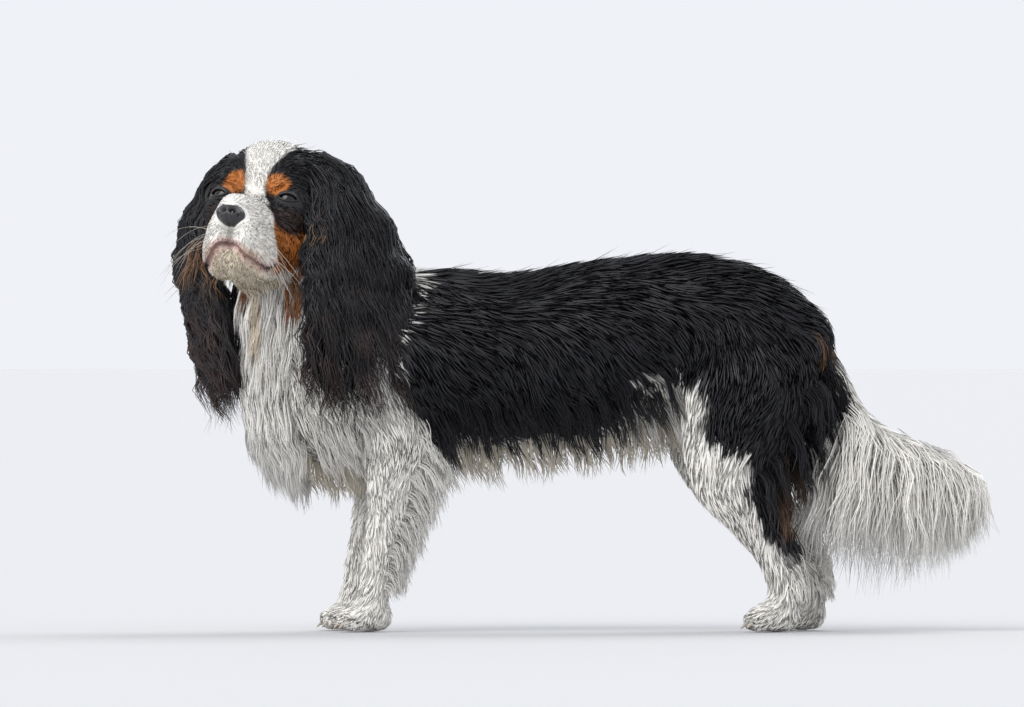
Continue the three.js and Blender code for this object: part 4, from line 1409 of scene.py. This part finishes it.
def silky_hair():
    """Dog hair in locks: fine streaks along each lock and a soft gloss."""
    material, tree = new_material("silky_hair")
    uv = node(tree, "ShaderNodeUVMap", {"uv_map": "strand"})
    stretched = node(tree, "ShaderNodeMapping", None, Vector=uv.outputs[0], Scale=(5.5, 1.1, 1))
    streaks = node(tree, "ShaderNodeTexNoise", None, Vector=stretched.outputs[0], Scale=1.0, Detail=3.0)
    tone = node(tree, "ShaderNodeMapRange", None, Value=streaks.outputs[0])
    tone.inputs["To Min"].default_value = 0.78
    tone.inputs["To Max"].default_value = 1.18
    colour = node(tree, "ShaderNodeAttribute", {"attribute_name": "coat"})
    streaked = node(tree, "ShaderNodeVectorMath", {"operation": "SCALE"}, Scale=tone.outputs[0])
    tree.links.new(colour.outputs["Color"], streaked.inputs[0])
    bump = node(tree, "ShaderNodeBump", None, Strength=0.35, Distance=0.0004, Height=streaks.outputs[0])
    finish_material(tree, Base_Color=streaked.outputs[0], Roughness=0.4, Normal=bump.outputs[0],
                    Specular_IOR_Level=0.4)
    return material


def short_fur_skin():
    """The skin under the coat, with short hair drawn as fine bump and streaks."""
    material, tree = new_material("short_fur")
    place = node(tree, "ShaderNodeTexCoord")
    fine = node(tree, "ShaderNodeTexNoise", None, Vector=place.outputs["Object"],
                Scale=scale_for(FUR_GRAIN), Detail=3.0)
    tone = node(tree, "ShaderNodeMapRange", None, Value=fine.outputs[0])
    tone.inputs["To Min"].default_value = 0.6
    tone.inputs["To Max"].default_value = 1.2
    colour = node(tree, "ShaderNodeAttribute", {"attribute_name": "coat"})
    mottled = node(tree, "ShaderNodeVectorMath", {"operation": "SCALE"}, Scale=tone.outputs[0])
    tree.links.new(colour.outputs["Color"], mottled.inputs[0])
    bump = node(tree, "ShaderNodeBump", None, Strength=0.6, Distance=0.0006, Height=fine.outputs[0])
    finish_material(tree, Base_Color=mottled.outputs[0], Roughness=0.6, Normal=bump.outputs[0])
    return material


def wet_eye():
    """Cornea over a dark brown iris: very smooth and wet."""
    material, tree = new_material("wet_cornea")
    gaze = node(tree, "ShaderNodeAttribute", {"attribute_name": "gaze"})
    ramp = node(tree, "ShaderNodeValToRGB", None, Fac=gaze.outputs["Fac"])
    for place, colour in IRIS[1:-1]:
        ramp.color_ramp.elements.new(place).color = rgba(linear(colour))
    ramp.color_ramp.elements[0].color = rgba(linear(IRIS[0][1]))
    ramp.color_ramp.elements[-1].color = rgba(linear(IRIS[-1][1]))
    finish_material(tree, Base_Color=ramp.outputs[0], Roughness=0.06, Specular_IOR_Level=0.5)
    return material


def lid_skin():
    """Bare dark skin at the edge of the lids, damp from the eye."""
    material, tree = new_material("damp_lid_skin")
    place = node(tree, "ShaderNodeTexCoord")
    fine = node(tree, "ShaderNodeTexNoise", None, Vector=place.outputs["Object"],
                Scale=scale_for(LID_GRAIN), Detail=2.0)
    bump = node(tree, "ShaderNodeBump", None, Strength=0.2, Distance=0.0003, Height=fine.outputs[0])
    finish_material(tree, Base_Color=rgba(linear("#120d0e")), Roughness=0.32, Normal=bump.outputs[0])
    return material


def nose_leather():
    """Bare black nose skin: pebbled at about 0.9 mm, and moist."""
    material, tree = new_material("moist_nose_leather")
    place = node(tree, "ShaderNodeTexCoord")
    pebbles = node(tree, "ShaderNodeTexVoronoi", {"feature": "SMOOTH_F1"},
                   Vector=place.outputs["Object"], Scale=scale_for(NOSE_PEBBLE))
    height = pebbles.outputs["Distance"]
    bump = node(tree, "ShaderNodeBump", {"invert": True}, Strength=0.5, Distance=0.0004, Height=height)
    tone = node(tree, "ShaderNodeMapRange", None, Value=height)
    shade = node(tree, "ShaderNodeMix", {"data_type": "RGBA"}, Factor=tone.outputs[0])
    shade.inputs[6].default_value = rgba(linear("#2b2a2d"))
    shade.inputs[7].default_value = rgba(linear("#171618"))
    finish_material(tree, Base_Color=shade.outputs[2], Roughness=0.38, Normal=bump.outputs[0],
                    Coat_Weight=0.25, Coat_Roughness=0.2)
    return material


def claw_horn():
    """Claw horn: pale and smooth, with fine lengthwise streaks."""
    material, tree = new_material("claw_horn")
    place = node(tree, "ShaderNodeTexCoord")
    stretched = node(tree, "ShaderNodeMapping", None, Vector=place.outputs["Object"], Scale=(120, 1600, 1600))
    streaks = node(tree, "ShaderNodeTexNoise", None, Vector=stretched.outputs[0], Scale=1.0)
    shade = node(tree, "ShaderNodeMix", {"data_type": "RGBA"}, Factor=streaks.outputs[0])
    shade.inputs[6].default_value = rgba(linear("#8d8072"))
    shade.inputs[7].default_value = rgba(linear("#cabfb0"))
    finish_material(tree, Base_Color=shade.outputs[2], Roughness=0.35)
    return material


def dress(obj, material, slot, *replaced):
    """Gives a piece its material and its body, and hides the solids it stands for; `slot` is not used."""
    obj.data.materials.append(material)
    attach(obj, "root")
    if replaced:
        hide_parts(*replaced)


COAT_SLOTS = {
    "ear_coat": ("ear_undercoat", "left_ear_hair", "right_ear_hair", "left_ear_streak", "right_ear_streak"),
    "face_coat": ("face_coat", "skull_coat"),
    "body_coat": (
        "back_coat", "flank_coat", "rump_hair", "left_flank_fringe", "right_flank_fringe", "stray_hairs",
    ),
}


def slot_of(name):
    """The record's slot of a coat piece; what isn't black or on the head is white."""
    named = [slot for slot, names in COAT_SLOTS.items() if name in names]
    return named[0] if named else "white_coat"


HAIR = silky_hair()
EYE = wet_eye()
dress(make_eye("left_eyeball", 1), EYE, "eye", "left_eye")
dress(make_eye("right_eyeball", -1), EYE, "eye", "right_eye")
LID = lid_skin()
dress(make_lids("left_lids", 1), LID, "face_coat")
dress(make_lids("right_lids", -1), LID, "face_coat")
dress(make_nose(), nose_leather(), "nose_leather", "nose")
dress(make_whiskers(), HAIR, "face_coat")
dress(make_claws(), claw_horn(), "white_coat")
for piece in coat_pieces:
    dress(piece, HAIR, slot_of(piece.name))


def paint_skin():
    """Gives the skin the coat's markings and the painted shade under the chin."""
    opaque = np.column_stack([skin_map.colour, np.ones(len(skin_map.colour))])
    markings = skin.data.color_attributes.new("coat", "FLOAT_COLOR", "POINT")
    markings.data.foreach_set("color", opaque.astype(np.float32).ravel())


paint_skin()
FLESH = ("head", *PARTS)
dress(skin, short_fur_skin(), "body_coat", *FLESH)


# Camera, lights and floor
# Each lamp's place, strength and tint: broad and soft, from above and the dog's front
LAMPS = {
    "key": ((-1250, -1500, 1770), 1.25, (1, 0.99, 0.97)),
    "fill": ((-1650, -900, 400), 0.6, (0.97, 0.98, 1)),
    "rim": ((850, 1300, 1450), 1.1, (0.93, 0.96, 1)),
}
LAMP_WIDTH = 40 * DEG


def camera_and_light():
    camera = bpy.data.cameras.new("camera")
    camera.lens = 495
    camera.sensor_width = 36
    camera.clip_end = 500
    view = bpy.data.objects.new("camera", camera)
    view.location = to_world([-6.8, -12000, 236.7])
    view.rotation_euler = (90 * DEG, 0, 0)
    bpy.context.scene.collection.objects.link(view)
    bpy.context.scene.camera = view
    for name, (place, power, tint) in LAMPS.items():
        light = bpy.data.lights.new(name, "SUN")
        light.angle = LAMP_WIDTH
        light.energy = power
        light.color = tint
        lamp = bpy.data.objects.new(name, light)
        lamp.location = to_world(place)
        lamp.rotation_euler = Vector([-c for c in place]).to_track_quat("-Z", "Y").to_euler()
        bpy.context.scene.collection.objects.link(lamp)
    world = bpy.data.worlds.new("studio")
    bpy.context.scene.world = world
    world.use_nodes = True
    world.node_tree.nodes["Background"].inputs["Color"].default_value = (0.93, 0.95, 1, 1)
    world.node_tree.nodes["Background"].inputs["Strength"].default_value = 0.8
    bpy.context.scene.view_settings.view_transform = "Standard"
    bpy.context.scene.view_settings.exposure = 0.22


camera_and_light()


def floor():
    """A plain pale studio floor that reaches the horizon."""
    bm = bmesh.new()
    bmesh.ops.create_grid(bm, x_segments=1, y_segments=1, size=200)
    return object_from(bm, "floor")


ground = floor()
pale, tree = new_material("painted_floor")
finish_material(tree, Base_Color=(0.53, 0.53, 0.535, 1), Roughness=0.8)
ground.data.materials.append(pale)
